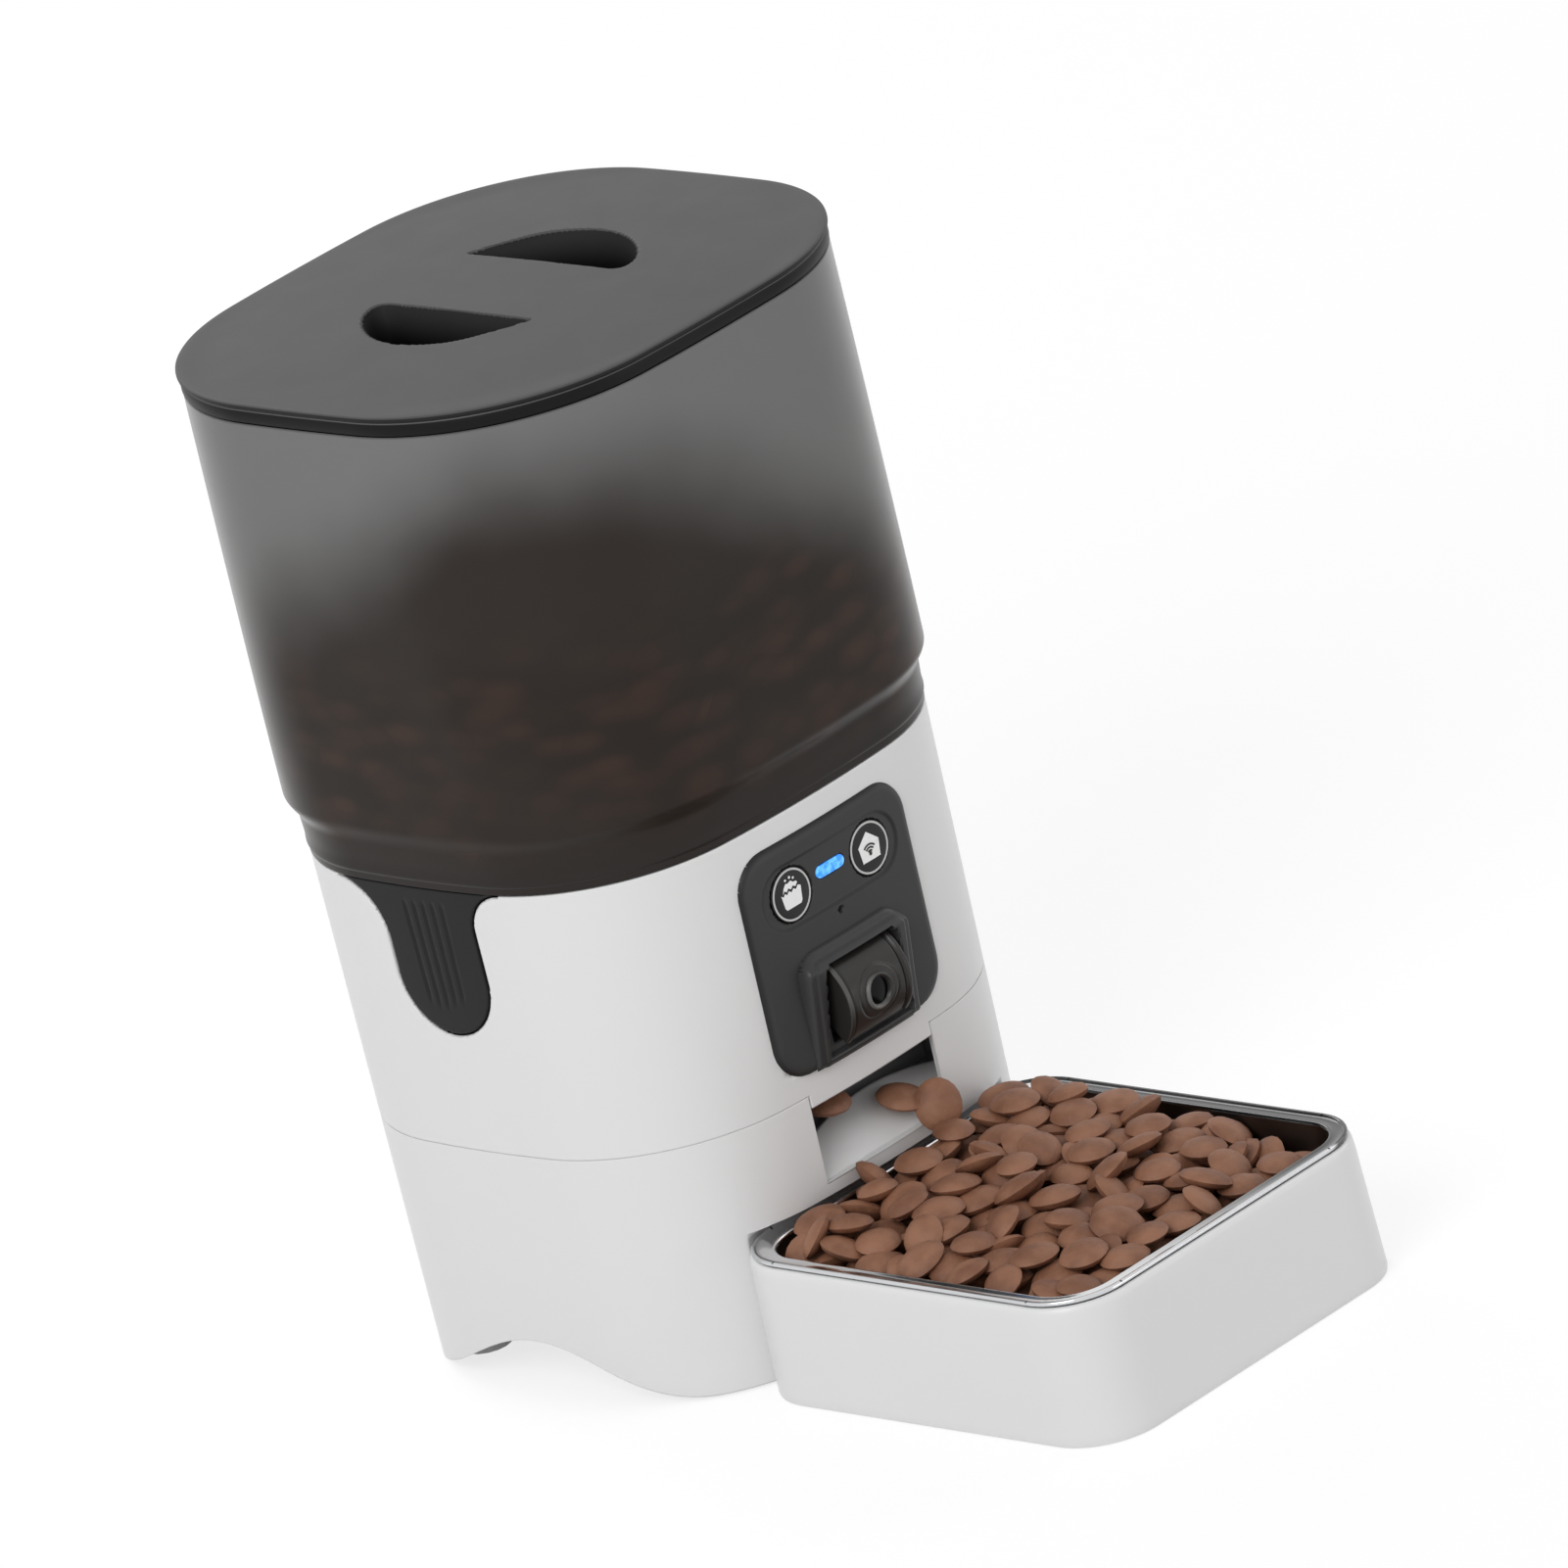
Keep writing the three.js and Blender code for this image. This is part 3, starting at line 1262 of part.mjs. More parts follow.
function makeBowl() {
  const rimBottom = tray.height + fit.gap;
  const rimTop = rimBottom + bowl.rimThickness;
  const outline = (inset) => trayOutline(1, -inset);
  const lip = bowl.rimInset + bowl.rimWidth;
  const floorTop = rimTop - bowl.depth;
  const rim = loft([rimBottom, rimTop].map((z) => ({ outline: outline(bowl.rimInset), z })));
  const body = loft([
    { outline: outline(lip + bowl.taper - bowl.wall), z: floorTop - bowl.wall },
    { outline: outline(lip - bowl.wall), z: rimTop - bowl.rimThickness / 2 },
  ]);
  const room = loft([
    { outline: outline(lip + bowl.taper), z: floorTop },
    { outline: outline(lip), z: rimTop },
    { outline: outline(lip), z: rimTop + fit.overrun },
  ]);
  return cut(join(rim, body), room);
}

// Finishes

const finishes = {
  white: { color: 0xdcdcdc, roughness: 0.42, metalness: 0 },
  slate: { color: 0x5a5a5a, roughness: 0.55, metalness: 0 },
  charcoal: { color: 0x333333, roughness: 0.5, metalness: 0 },
  black: { color: 0x161616, roughness: 0.45, metalness: 0 },
  smoke: { color: 0x3c3a39, roughness: 0.3, metalness: 0 },
  silicone: { color: 0x2a2a2a, roughness: 0.8, metalness: 0 },
  steel: { color: 0xc9ccd0, roughness: 0.18, metalness: 1 },
  blueLight: { color: 0x2e8cff, roughness: 0.3, metalness: 0 },
  glass: { color: 0x0c0d10, roughness: 0.05, metalness: 0 },
  board: { color: 0x1f5a3a, roughness: 0.6, metalness: 0 },
  brass: { color: 0xb08d4a, roughness: 0.35, metalness: 1 },
  cellJacket: { color: 0x4a4f57, roughness: 0.4, metalness: 0.2 },
};

const materials = Object.fromEntries(Object.entries(finishes).map(([name, values]) => [
  name, new THREE.MeshStandardMaterial({ name, ...values }),
]));

const feeder = new THREE.Group();
feeder.position.y = originShift;

function add(name, solid, finish) {
  const mesh = solid.getMesh();
  const geometry = new THREE.BufferGeometry();
  geometry.setAttribute('position', new THREE.BufferAttribute(new Float32Array(mesh.vertProperties), 3));
  geometry.setIndex(new THREE.BufferAttribute(new Uint32Array(mesh.triVerts), 1));
  geometry.computeVertexNormals();
  const piece = new THREE.Mesh(geometry, materials[finish]);
  piece.name = name;
  feeder.add(piece);
}

add('lid_cover', makeLidCover(), 'slate');
add('lid_skirt', makeLidSkirt(), 'black');
add('lid_seal', makeLidSeal(), 'silicone');
add('desiccant_cup', makeDesiccantCup(), 'black');
add('desiccant_cap', makeDesiccantCap(), 'black');

add('hopper', makeHopper(), 'smoke');
add('hopper_floor', makeHopperFloor(), 'charcoal');
add('portion_cover', makePortionCover(), 'charcoal');
add('rotor', makeRotor(), 'slate');
add('agitator', makeAgitator(), 'silicone');

add('upper_shell', makeUpperShell(), 'white');
add('tray_dock', makeTrayDock(), 'white');
add('lower_shell', makeLowerShell(), 'white');
add('bottom_plate', makeBottomPlate(), 'white');
add('inner_deck', makeInnerDeck(), 'white');
add('chute', makeChute(), 'white');
add('food_sensor_left', makeFoodSensor(-1), 'black');
add('food_sensor_right', makeFoodSensor(1), 'black');
add('speaker', makeSpeaker(), 'black');
add('power_socket', makePowerSocket(), 'black');

add('gearbox_case', makeGearboxCase(), 'charcoal');
add('gearbox_cover', makeGearboxCover(), 'charcoal');
add('motor', makeMotor(), 'steel');
add('motor_pinion', makeMotorPinion(), 'brass');
add('drive_gear', makeDriveGear(), 'white');

add('battery_cover', makeBatteryCover(), 'white');
[-1, 0, 1].forEach((place, i) => add(`battery_cell_${i + 1}`, makeCell(place), 'cellJacket'));
add('contact_front', makeContact(false), 'steel');
add('contact_back', makeContact(true), 'steel');
corners.forEach((corner, i) => {
  add(`foot_${i + 1}`, makeFoot(corner), 'silicone');
  add(`bottom_screw_${i + 1}`, makeScrew(corner), 'steel');
});

add('front_panel', makeFrontPanel(), 'charcoal');
add('feed_button', makeButton(-1), 'charcoal');
add('call_button', makeButton(1), 'charcoal');
add('status_light', makeStatusLight(), 'blueLight');
add('microphone', makeMicrophone(), 'black');
add('light_sensor', makeLightSensor(), 'glass');
add('main_board', makeMainBoard(), 'board');
add('camera_hood', makeCameraHood(), 'charcoal');
add('camera_bracket', makeCameraBracket(), 'black');
add('camera_drum', makeCameraDrum(), 'black');
add('lens_barrel', makeLensBarrel(), 'black');
add('lens_glass', makeLensGlass(), 'glass');

add('latch_left', makeLatch(-1), 'charcoal');
add('latch_right', makeLatch(1), 'charcoal');

add('tray', makeTray(), 'white');
add('bowl', makeBowl(), 'steel');

export default feeder;
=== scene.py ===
import bpy
import numpy as np
from mathutils import Matrix, Vector


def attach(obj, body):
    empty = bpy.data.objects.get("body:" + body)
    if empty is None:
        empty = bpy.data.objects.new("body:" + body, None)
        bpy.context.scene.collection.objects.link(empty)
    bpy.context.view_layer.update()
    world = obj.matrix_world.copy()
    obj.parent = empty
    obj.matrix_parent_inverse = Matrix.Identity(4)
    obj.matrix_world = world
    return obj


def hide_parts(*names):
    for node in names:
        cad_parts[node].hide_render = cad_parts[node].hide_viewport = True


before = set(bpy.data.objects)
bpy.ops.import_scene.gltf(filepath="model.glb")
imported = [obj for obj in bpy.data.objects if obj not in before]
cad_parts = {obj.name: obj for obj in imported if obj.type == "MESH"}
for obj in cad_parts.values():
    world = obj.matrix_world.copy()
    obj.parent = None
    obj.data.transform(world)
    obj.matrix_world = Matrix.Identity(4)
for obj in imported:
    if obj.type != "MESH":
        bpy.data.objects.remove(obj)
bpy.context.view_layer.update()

# Lengths below are millimetres in the tower's own frame, whose axis stands behind the middle of the footprint.
unit = 0.001
towerShift = 66.35
rng = np.random.default_rng(7)

base = {
    "halfWidth": 90, "halfDepth": 82.8, "sideRadius": 405, "cornerRadius": 58, "top": 171.5,
    "split": 83.1, "draft": 0.0127, "sheet": 2.4, "floorGap": 1, "seamGap": 0.12,
}
outlet = {"halfWidth": 27.4, "bottom": 54.3, "top": 79}
far = 99.0  # a distance that stands for nowhere near


# Meshes

def place(points):
    moved = np.asarray(points, float).reshape(-1, 3) * unit
    moved[:, 1] += towerShift * unit
    return moved


def makePiece(name, points, faces, surface, body, slot, replaced=(), sharp=35, thickness=0):
    groups = [np.asarray(group, int) for group in faces if len(group)]
    points = np.asarray(points, float).reshape(-1, 3)
    used = np.zeros(len(points), bool)
    for group in groups:
        used[group.ravel()] = True
    renumber = np.cumsum(used) - 1
    groups = [renumber[group] for group in groups]
    points = place(points[used])
    sizes = np.concatenate([np.full(len(group), group.shape[1]) for group in groups])
    mesh = bpy.data.meshes.new(name)
    mesh.vertices.add(len(points))
    mesh.vertices.foreach_set("co", points.ravel())
    mesh.loops.add(int(sizes.sum()))
    mesh.loops.foreach_set("vertex_index", np.concatenate([group.ravel() for group in groups]))
    mesh.polygons.add(len(sizes))
    mesh.polygons.foreach_set("loop_start", np.concatenate([[0], np.cumsum(sizes)[:-1]]))
    mesh.polygons.foreach_set("use_smooth", np.ones(len(sizes), bool))
    mesh.update(calc_edges=True)
    mesh.validate()
    mesh.set_sharp_from_angle(angle=np.radians(sharp))
    mesh.materials.append(surface)
    piece = bpy.data.objects.new(name, mesh)
    bpy.context.collection.objects.link(piece)
    if thickness:
        solid = piece.modifiers.new("thickness", "SOLIDIFY")
        solid.thickness = thickness * unit
        solid.offset = -1
        solid.use_even_offset = False
    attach(piece, body)
    if replaced:
        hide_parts(*replaced)
    return piece


def sheetFaces(rows, columns, closed=False, flip=False):
    row = np.arange(rows - 1)[:, None] * columns
    column = np.arange(columns if closed else columns - 1)[None, :]
    after = (column + 1) % columns
    quads = np.stack([row + column, row + after, row + columns + after, row + columns + column], -1).reshape(-1, 4)
    return quads[:, ::-1] if flip else quads


def keepFaces(quads, mask):
    return quads[mask.ravel()[quads].all(1)]


def fanFaces(start, count, centre, flip=False):
    first = start + np.arange(count)
    after = start + (np.arange(count) + 1) % count
    fan = np.stack([first, after, np.full(count, centre)], -1)
    return fan[:, ::-1] if flip else fan


# closed rings of points, one above the other, with a fan at either end where asked
def loftPiece(name, rings, surface, body, slot, fanFirst=False, fanLast=False, loop=False, **options):
    rings = np.asarray(rings, float)
    rows, columns = rings.shape[:2]
    points = rings.reshape(-1, 3)
    groups = [sheetFaces(rows, columns, closed=True)]
    if loop:
        first = np.arange(columns)
        after = (first + 1) % columns
        last = (rows - 1) * columns
        groups.append(np.stack([last + first, last + after, after, first], -1))
    if fanFirst:
        points = np.vstack([points, rings[0].mean(0)])
        groups.append(fanFaces(0, columns, len(points) - 1, flip=True))
    if fanLast:
        points = np.vstack([points, rings[-1].mean(0)])
        groups.append(fanFaces((rows - 1) * columns, columns, len(points) - 1))
    return makePiece(name, points, groups, surface, body, slot, **options)


def levels(*spans):
    steps = [np.arange(start, stop, step) for start, stop, step in spans]
    return np.unique(np.round(np.concatenate(steps + [[spans[-1][1]]]), 4))


# how far a surface sinks at a distance from an edge that is rounded with a radius
def rounding(distance, radius):
    d = np.clip(distance, 0, radius)
    return radius - np.sqrt(radius ** 2 - (radius - d) ** 2)


def easing(value, low, high):
    share = np.clip((value - low) / (high - low), 0, 1)
    return share * share * (3 - 2 * share)


# Outlines

sideShare = 0.22


# points at places 0 to 4 round an outline with bowed sides: 0 east, 1 north, 2 west, 3 south
def bowed(halfWidth, halfDepth, sideRadius, cornerRadius, places):
    places = np.asarray(places, float) % 4
    quarter = np.floor(places).astype(int)
    share = places - quarter
    odd = quarter % 2 == 1
    share = np.where(odd, 1 - share, share)
    east = np.array([halfWidth - sideRadius, 0.0])
    north = np.array([0.0, halfDepth - sideRadius])
    across = north - east
    span = np.hypot(*across)
    rise = np.sqrt((sideRadius - cornerRadius) ** 2 - span ** 2 / 4)
    corner = (east + north) / 2 + np.array([-across[1], across[0]]) / span * rise
    start = np.arctan2(*(corner - east)[::-1])
    end = np.arctan2(*(corner - north)[::-1])
    low, high = sideShare, 1 - sideShare
    angle = np.where(share < low, start * share / low,
                     np.where(share < high, start + (end - start) * (share - low) / (high - low),
                              end + (np.pi / 2 - end) * (share - high) / (1 - high)))
    radius = np.where((share < low) | (share >= high), sideRadius, cornerRadius)
    centreX = np.where(share < low, east[0], np.where(share < high, corner[0], north[0]))
    centreY = np.where(share < low, east[1], np.where(share < high, corner[1], north[1]))
    x = centreX + radius * np.cos(angle)
    y = centreY + radius * np.sin(angle)
    x = np.where((quarter == 1) | (quarter == 2), -x, x)
    y = np.where(quarter >= 2, -y, y)
    return np.stack([x, y], -1)


def baseRing(z, places, offset=0.0):
    inset = base["draft"] * (base["top"] - z) - offset
    return bowed(base["halfWidth"] - inset, base["halfDepth"] - inset,
                 base["sideRadius"] - inset, base["cornerRadius"] - inset, places)


def boxRing(x0, x1, y0, y1, radius, count=12):
    centres = np.array([[x1 - radius, y1 - radius], [x0 + radius, y1 - radius],
                        [x0 + radius, y0 + radius], [x1 - radius, y0 + radius]])
    quarter = np.repeat(np.arange(4), count + 1)
    angle = np.pi / 2 * (quarter + np.tile(np.linspace(0, 1, count + 1), 4))
    return centres[quarter] + radius * np.stack([np.cos(angle), np.sin(angle)], -1)


# the same outline with its straight sides split up, so that its rings carry even faces
def boxRingFine(x0, x1, y0, y1, radius, count=12, split=10):
    ring = boxRing(x0, x1, y0, y1, radius, count)
    pieces = []
    for corner in range(4):
        arc = ring[corner * (count + 1):(corner + 1) * (count + 1)]
        after = ring[((corner + 1) % 4) * (count + 1)]
        share = np.linspace(0, 1, split + 1)[1:-1, None]
        pieces += [arc, arc[-1] * (1 - share) + after * share]
    return np.vstack(pieces)


def lift(ring, z):
    return np.column_stack([ring, np.broadcast_to(z, len(ring))])


# a ring that stands upright, facing the front
def upright(ring, y, x=0.0, z=0.0):
    return np.column_stack([ring[:, 0] + x, np.full(len(ring), y), ring[:, 1] + z])


def circleRing(radius, count, centre=(0, 0)):
    angle = np.linspace(0, 2 * np.pi, count, endpoint=False)
    return np.stack([centre[0] + radius * np.cos(angle), centre[1] + radius * np.sin(angle)], -1)


# a smooth curve through the points between the first and the last
def spline(points, fine):
    found = []
    for a, b, c, d in zip(points, points[1:], points[2:], points[3:]):
        for s in np.linspace(0, 1, fine, endpoint=False):
            found.append(0.5 * (2 * b + (c - a) * s + (2 * a - 5 * b + 4 * c - d) * s ** 2
                                + (3 * b - a - 3 * c + d) * s ** 3))
    return np.array(found)


# signed distances in a plane, negative inside
def boxDistance(u, v, u0, u1, v0, v1, radius):
    du = np.abs(u - (u0 + u1) / 2) - (u1 - u0) / 2 + radius
    dv = np.abs(v - (v0 + v1) / 2) - (v1 - v0) / 2 + radius
    return np.hypot(np.maximum(du, 0), np.maximum(dv, 0)) + np.minimum(np.maximum(du, dv), 0) - radius


def polygonDistance(u, v, polygon):
    shape = np.shape(u)
    p = np.stack([np.ravel(u), np.ravel(v)], -1)
    best = np.full(len(p), np.inf)
    inside = np.zeros(len(p), bool)
    for a, b in zip(polygon, np.roll(polygon, -1, 0)):
        edge = b - a
        rel = p - a
        share = np.clip(rel @ edge / (edge @ edge), 0, 1)
        best = np.minimum(best, ((rel - share[:, None] * edge) ** 2).sum(1))
        crosses = (a[1] > p[:, 1]) != (b[1] > p[:, 1])
        if edge[1]:
            inside ^= crosses & (p[:, 0] < a[0] + edge[0] * (p[:, 1] - a[1]) / edge[1])
    distance = np.sqrt(best)
    return np.where(inside, -distance, distance).reshape(shape)


# moves the points that lie within reach of an outline onto it, in the plane of two of their coordinates
def snap(points, axes, distanceOf, reach):
    u, v = points[..., axes[0]], points[..., axes[1]]
    here = distanceOf(u, v)
    probe = 0.01
    gradU = (distanceOf(u + probe, v) - here) / probe
    gradV = (distanceOf(u, v + probe) - here) / probe
    close = np.abs(here) < reach
    points[..., axes[0]] = np.where(close, u - here * gradU, u)
    points[..., axes[1]] = np.where(close, v - here * gradV, v)
    return np.where(close, 0, here)


def snapColumns(grid, columns, axes, distanceOf, reach):
    part = grid[:, columns]
    distance = np.full(grid.shape[:2], far)
    distance[:, columns] = snap(part, axes, distanceOf, reach)
    grid[:, columns] = part
    return distance


# Shading

class Wire:
    def __init__(self, tree, socket):
        self.tree = tree
        self.socket = socket

    def math(self, operation, other=None, swap=False):
        made = self.tree.nodes.new("ShaderNodeMath")
        made.operation = operation
        for i, value in enumerate([other, self] if swap else [self, other]):
            plug(self.tree, value, made.inputs[i])
        return Wire(self.tree, made.outputs[0])

    def __add__(self, other):
        return self.math("ADD", other)

    __radd__ = __add__

    def __sub__(self, other):
        return self.math("SUBTRACT", other)

    def __rsub__(self, other):
        return self.math("SUBTRACT", other, swap=True)

    def __mul__(self, other):
        return self.math("MULTIPLY", other)

    __rmul__ = __mul__

    def __truediv__(self, other):
        return self.math("DIVIDE", other)

    def __pow__(self, other):
        return self.math("POWER", other)

    def __abs__(self):
        return self.math("ABSOLUTE")

    def atLeast(self, other):
        return self.math("MAXIMUM", other)

    # a smooth step from 0 at low to 1 at high
    def step(self, low, high):
        return node(self.tree, "ShaderNodeMapRange", {"Value": self, "From Min": low, "From Max": high},
                    "Result", interpolation_type="SMOOTHSTEP")


def plug(tree, value, socket):
    if isinstance(value, Wire):
        tree.links.new(value.socket, socket)
    elif value is not None:
        socket.default_value = value


def node(tree, kind, inputs, output, **settings):
    made = tree.nodes.new(kind)
    for key, value in settings.items():
        setattr(made, key, value)
    for key, value in inputs.items():
        plug(tree, value, made.inputs[key])
    return Wire(tree, made.outputs[output])


def srgb(*levels255):
    c = np.array(levels255, float) / 255
    linear = np.where(c <= 0.04045, c / 12.92, ((c + 0.055) / 1.055) ** 2.4)
    return (*[float(v) for v in linear], 1.0)


def grey(level):
    return srgb(level, level, level)


class Maker:
    def __init__(self, tree):
        self.tree = tree
        self.place = node(tree, "ShaderNodeTexCoord", {}, "Object")

    def noise(self, scale, detail=2.0, rough=0.5):
        return node(self.tree, "ShaderNodeTexNoise",
                    {"Vector": self.place, "Scale": scale, "Detail": detail, "Roughness": rough}, "Fac")

    def cells(self, scale, place, feature="F1", output="Distance"):
        return node(self.tree, "ShaderNodeTexVoronoi", {"Vector": place, "Scale": scale}, output, feature=feature)

    def axis(self, name):
        return node(self.tree, "ShaderNodeSeparateXYZ", {"Vector": self.place}, name)

    def mix(self, share, first, second):
        mixed = self.tree.nodes.new("ShaderNodeMix")
        mixed.data_type = "RGBA"
        plug(self.tree, share, mixed.inputs[0])
        plug(self.tree, first, mixed.inputs[6])
        plug(self.tree, second, mixed.inputs[7])
        return Wire(self.tree, mixed.outputs[2])

    def bump(self, height, depth):
        return node(self.tree, "ShaderNodeBump", {"Height": height, "Distance": depth * unit, "Strength": 1.0},
                    "Normal")

    def drift(self, first, second, scale=20):
        return self.mix(self.noise(scale, 3), first, second)

    def gloss(self, rough, scale=60, swing=0.1):
        return rough + (self.noise(scale, 3) - 0.5) * swing

    def grain(self, depth, scale=2600):
        return self.bump(self.noise(scale, 2), depth)


def surface(name, paint=None, **constants):
    made = bpy.data.materials.new(name)
    made.use_nodes = True
    tree = made.node_tree
    shader = tree.nodes["Principled BSDF"]
    for key, value in constants.items():
        shader.inputs[key.replace("_", " ")].default_value = value
    if paint:
        for key, value in paint(Maker(tree)).items():
            plug(tree, value, shader.inputs[key])
    return made


# moulded plastic: faint cloudiness in colour and gloss, and a fine grain that only the highlights show
def plastic(name, colour, rough, grain=0.02, grainScale=2600, cloud=0.03, **constants):
    shade = np.array(colour[:3])
    darker = (*[float(v) for v in shade * (1 - cloud)], 1.0)
    lighter = (*[float(v) for v in shade * (1 + cloud)], 1.0)

    def paint(m):
        return {"Base Color": m.drift(darker, lighter, 14), "Roughness": m.gloss(rough),
                "Normal": m.grain(grain, grainScale)}

    return surface(name, paint, **constants)


white = plastic("whitePlastic", grey(224), 0.36, grain=0.012, cloud=0.008)
blackPlastic = plastic("blackPlastic", grey(26), 0.45, Specular_IOR_Level=0.3)
darkPlastic = plastic("darkPlastic", srgb(46, 45, 44), 0.4, Specular_IOR_Level=0.3)
latchDark = plastic("latchDark", grey(31), 0.45, grain=0.03, Specular_IOR_Level=0.16)
hoodDark = plastic("hoodDark", grey(54), 0.36, Specular_IOR_Level=0.24)
buttonBlack = plastic("buttonBlack", grey(44), 0.35, grain=0.01, Specular_IOR_Level=0.16)
passageGrey = plastic("passageGrey", srgb(150, 150, 152), 0.5, Specular_IOR_Level=0.3)
siliconeBlack = plastic("siliconeBlack", grey(38), 0.75)
footRubber = plastic("footRubber", srgb(236, 236, 235), 0.7, grain=0.05, grainScale=1500)
circuitGreen = plastic("circuitGreen", srgb(28, 82, 52), 0.5)
cellJacket = plastic("cellJacket", srgb(70, 74, 82), 0.35)
printWhite = plastic("printWhite", grey(245), 0.5, grain=0.005, cloud=0.01)
ringGrey = plastic("ringGrey", grey(196), 0.45, grain=0.005, cloud=0.02)


# a dark plastic painted paler above a height in metres, as painted light and shade by height, each part drifting
# between two greys
def heightShaded(name, below, above, low, high, rough, **constants):
    def paint(m):
        colour = m.mix(m.axis("Z").step(low, high), m.drift(*map(grey, below)), m.drift(*map(grey, above)))
        return {"Base Color": colour, "Roughness": m.gloss(rough), "Normal": m.grain(0.02)}

    return surface(name, paint, **constants)


# painted shade on the lid's edge below its top
lidGrey = heightShaded("lidGrey", (34, 38), (79, 83), 0.3301, 0.3306, 0.42, Specular_IOR_Level=0.1)
# painted shade deep in the finger wells, darker towards their floor
wellGrey = heightShaded("wellGrey", (10, 14), (52, 58), 0.318, 0.332, 0.5, Specular_IOR_Level=0.08)
# painted highlight along the top edge of the band
bandBlack = heightShaded("bandBlack", (20, 24), (100, 106), 0.32815, 0.3286, 0.4, Specular_IOR_Level=0.1)


# how far a place lies outside a box, from wires that start at its middle
def beyond(u, v, halfU, halfV):
    across, along = (abs(u) - halfU).atLeast(0.0), (abs(v) - halfV).atLeast(0.0)
    return (across * across + along * along) ** 0.5


# painted shade: the panel is painted darker before its edge, and a dark line of painted shade runs round the recess of
# the buttons
def panelPaint(m):
    x, z = m.axis("X"), m.axis("Z")
    edgeShade = beyond(x, z - 0.1267, 0.0249, 0.0246).step(0.0106, 0.0122)
    line = 1 - abs(beyond(x, z - 0.1464, 0.020, 0.0) - 0.0101).step(0.0003, 0.0008)
    face = m.mix(line * 0.5, m.drift(grey(59), grey(62)), grey(24))
    return {"Base Color": m.mix(edgeShade * 0.7, face, grey(24)), "Roughness": m.gloss(0.42), "Normal": m.grain(0.02)}


panelDark = surface("panelDark", panelPaint, Specular_IOR_Level=0.16)


# the drum's left flange catches the light
def drumPaint(m):
    across = m.axis("X") * -1
    flange = across.step(0.0119, 0.0123) * (1 - across.step(0.01385, 0.01395)) * m.axis("Z").step(0.098, 0.112)
    face = m.drift(srgb(38, 36, 35), srgb(42, 40, 38))
    return {"Base Color": m.mix(flange, face, srgb(78, 77, 76)), "Roughness": m.gloss(0.3)}


drumBlack = surface("drumBlack", drumPaint, Specular_IOR_Level=0.3)


# the ring round the lens catches the light on its lower left
def rimPaint(m):
    lit = 1 - (m.axis("X") + m.axis("Z") * 0.35).step(0.0335, 0.0415)
    return {"Base Color": m.mix(lit, srgb(46, 45, 44), srgb(106, 105, 103)), "Roughness": 0.28 + m.noise(90, 2) * 0.06}


lensRim = surface("lensRim", rimPaint, Specular_IOR_Level=0.3)


def metalPaint(low, high, roughness, stretch):
    def paint(m):
        streak = m.noise(stretch, 4)
        return {"Base Color": m.mix(streak, low, high), "Roughness": roughness + (streak - 0.5) * 0.06}
    return paint


steel = surface("steel", metalPaint(srgb(170, 171, 174), srgb(190, 191, 194), 0.3, 300), Metallic=1.0)


# polished steel with painted reflection and painted shade: the rolled edge is painted dark on its right, the ledge
# inside it is painted light on the left and along the rear and dark between, with a tick where each corner ends
def bowlPaint(m):
    streak = m.noise(40, 4)
    x, y = m.axis("X"), m.axis("Y") - towerShift * unit
    halfX, halfY, middleY = 0.048, 0.05305, 0.14545
    reach = beyond(x, y + middleY, halfX, halfY)
    colour = m.mix(streak, srgb(200, 201, 203), srgb(214, 215, 217))
    # painted shade on the right of the rolled edge
    colour = m.mix(x.step(0.048, 0.053), colour, grey(84))
    # painted reflection on the ledge: light on the left and along the rear, painted shade between
    ledge = m.mix(x.step(-0.066, 0.05), srgb(225, 225, 226), grey(88))
    ledge = m.mix(y.step(-0.091, -0.083), ledge, srgb(222, 222, 223))
    colour = m.mix(1 - reach.step(0.0186, 0.0193), colour, ledge)
    ends = [1 - abs(abs(wire) - half).step(0.0002, 0.0005) for wire, half in ((x, halfX), (y + middleY, halfY))]
    tick = ends[0].atLeast(ends[1]) * reach.step(0.0191, 0.0197) * (1 - reach.step(0.0206, 0.0211))
    return {"Base Color": m.mix(tick, colour, grey(40)), "Roughness": 0.16 + (streak - 0.5) * 0.06}


bowlSteel = surface("bowlSteel", bowlPaint, Metallic=1.0)
# painted shade: the inside of the bowl is the same steel, painted dark brown for the shade under the food and the food
# it reflects
wellSteelShaded = surface("wellSteelShaded", metalPaint(srgb(86, 78, 72), srgb(98, 90, 84), 0.34, 60), Metallic=1.0)
brass = surface("brass", metalPaint(srgb(168, 132, 70), srgb(184, 148, 84), 0.3, 200), Metallic=1.0)
lensGlass = surface("lensGlass", lambda m: {"Base Color": m.mix(m.noise(400), srgb(6, 6, 8), srgb(12, 12, 14))},
                    Roughness=0.12, Specular_IOR_Level=0.12)


def blueGlow(m):
    core = m.noise(500, 2).step(0.35, 0.65)
    colour = m.mix(core, srgb(38, 128, 240), srgb(96, 176, 255))
    return {"Base Color": colour, "Emission Color": colour}


lightBlue = surface("lightBlue", blueGlow, Roughness=0.3, Emission_Strength=0.75)


def kibblePaint(m):
    crumbs = m.noise(900, 4, rough=0.6)
    return {
        "Base Color": m.mix(m.noise(90, 3).step(0.3, 0.7), srgb(117, 76, 54), srgb(149, 104, 79)),
        "Roughness": 0.62 + (crumbs - 0.5) * 0.2,
        "Normal": m.bump(crumbs, 0.25),
    }


kibbleBrown = surface("kibbleBrown", kibblePaint)
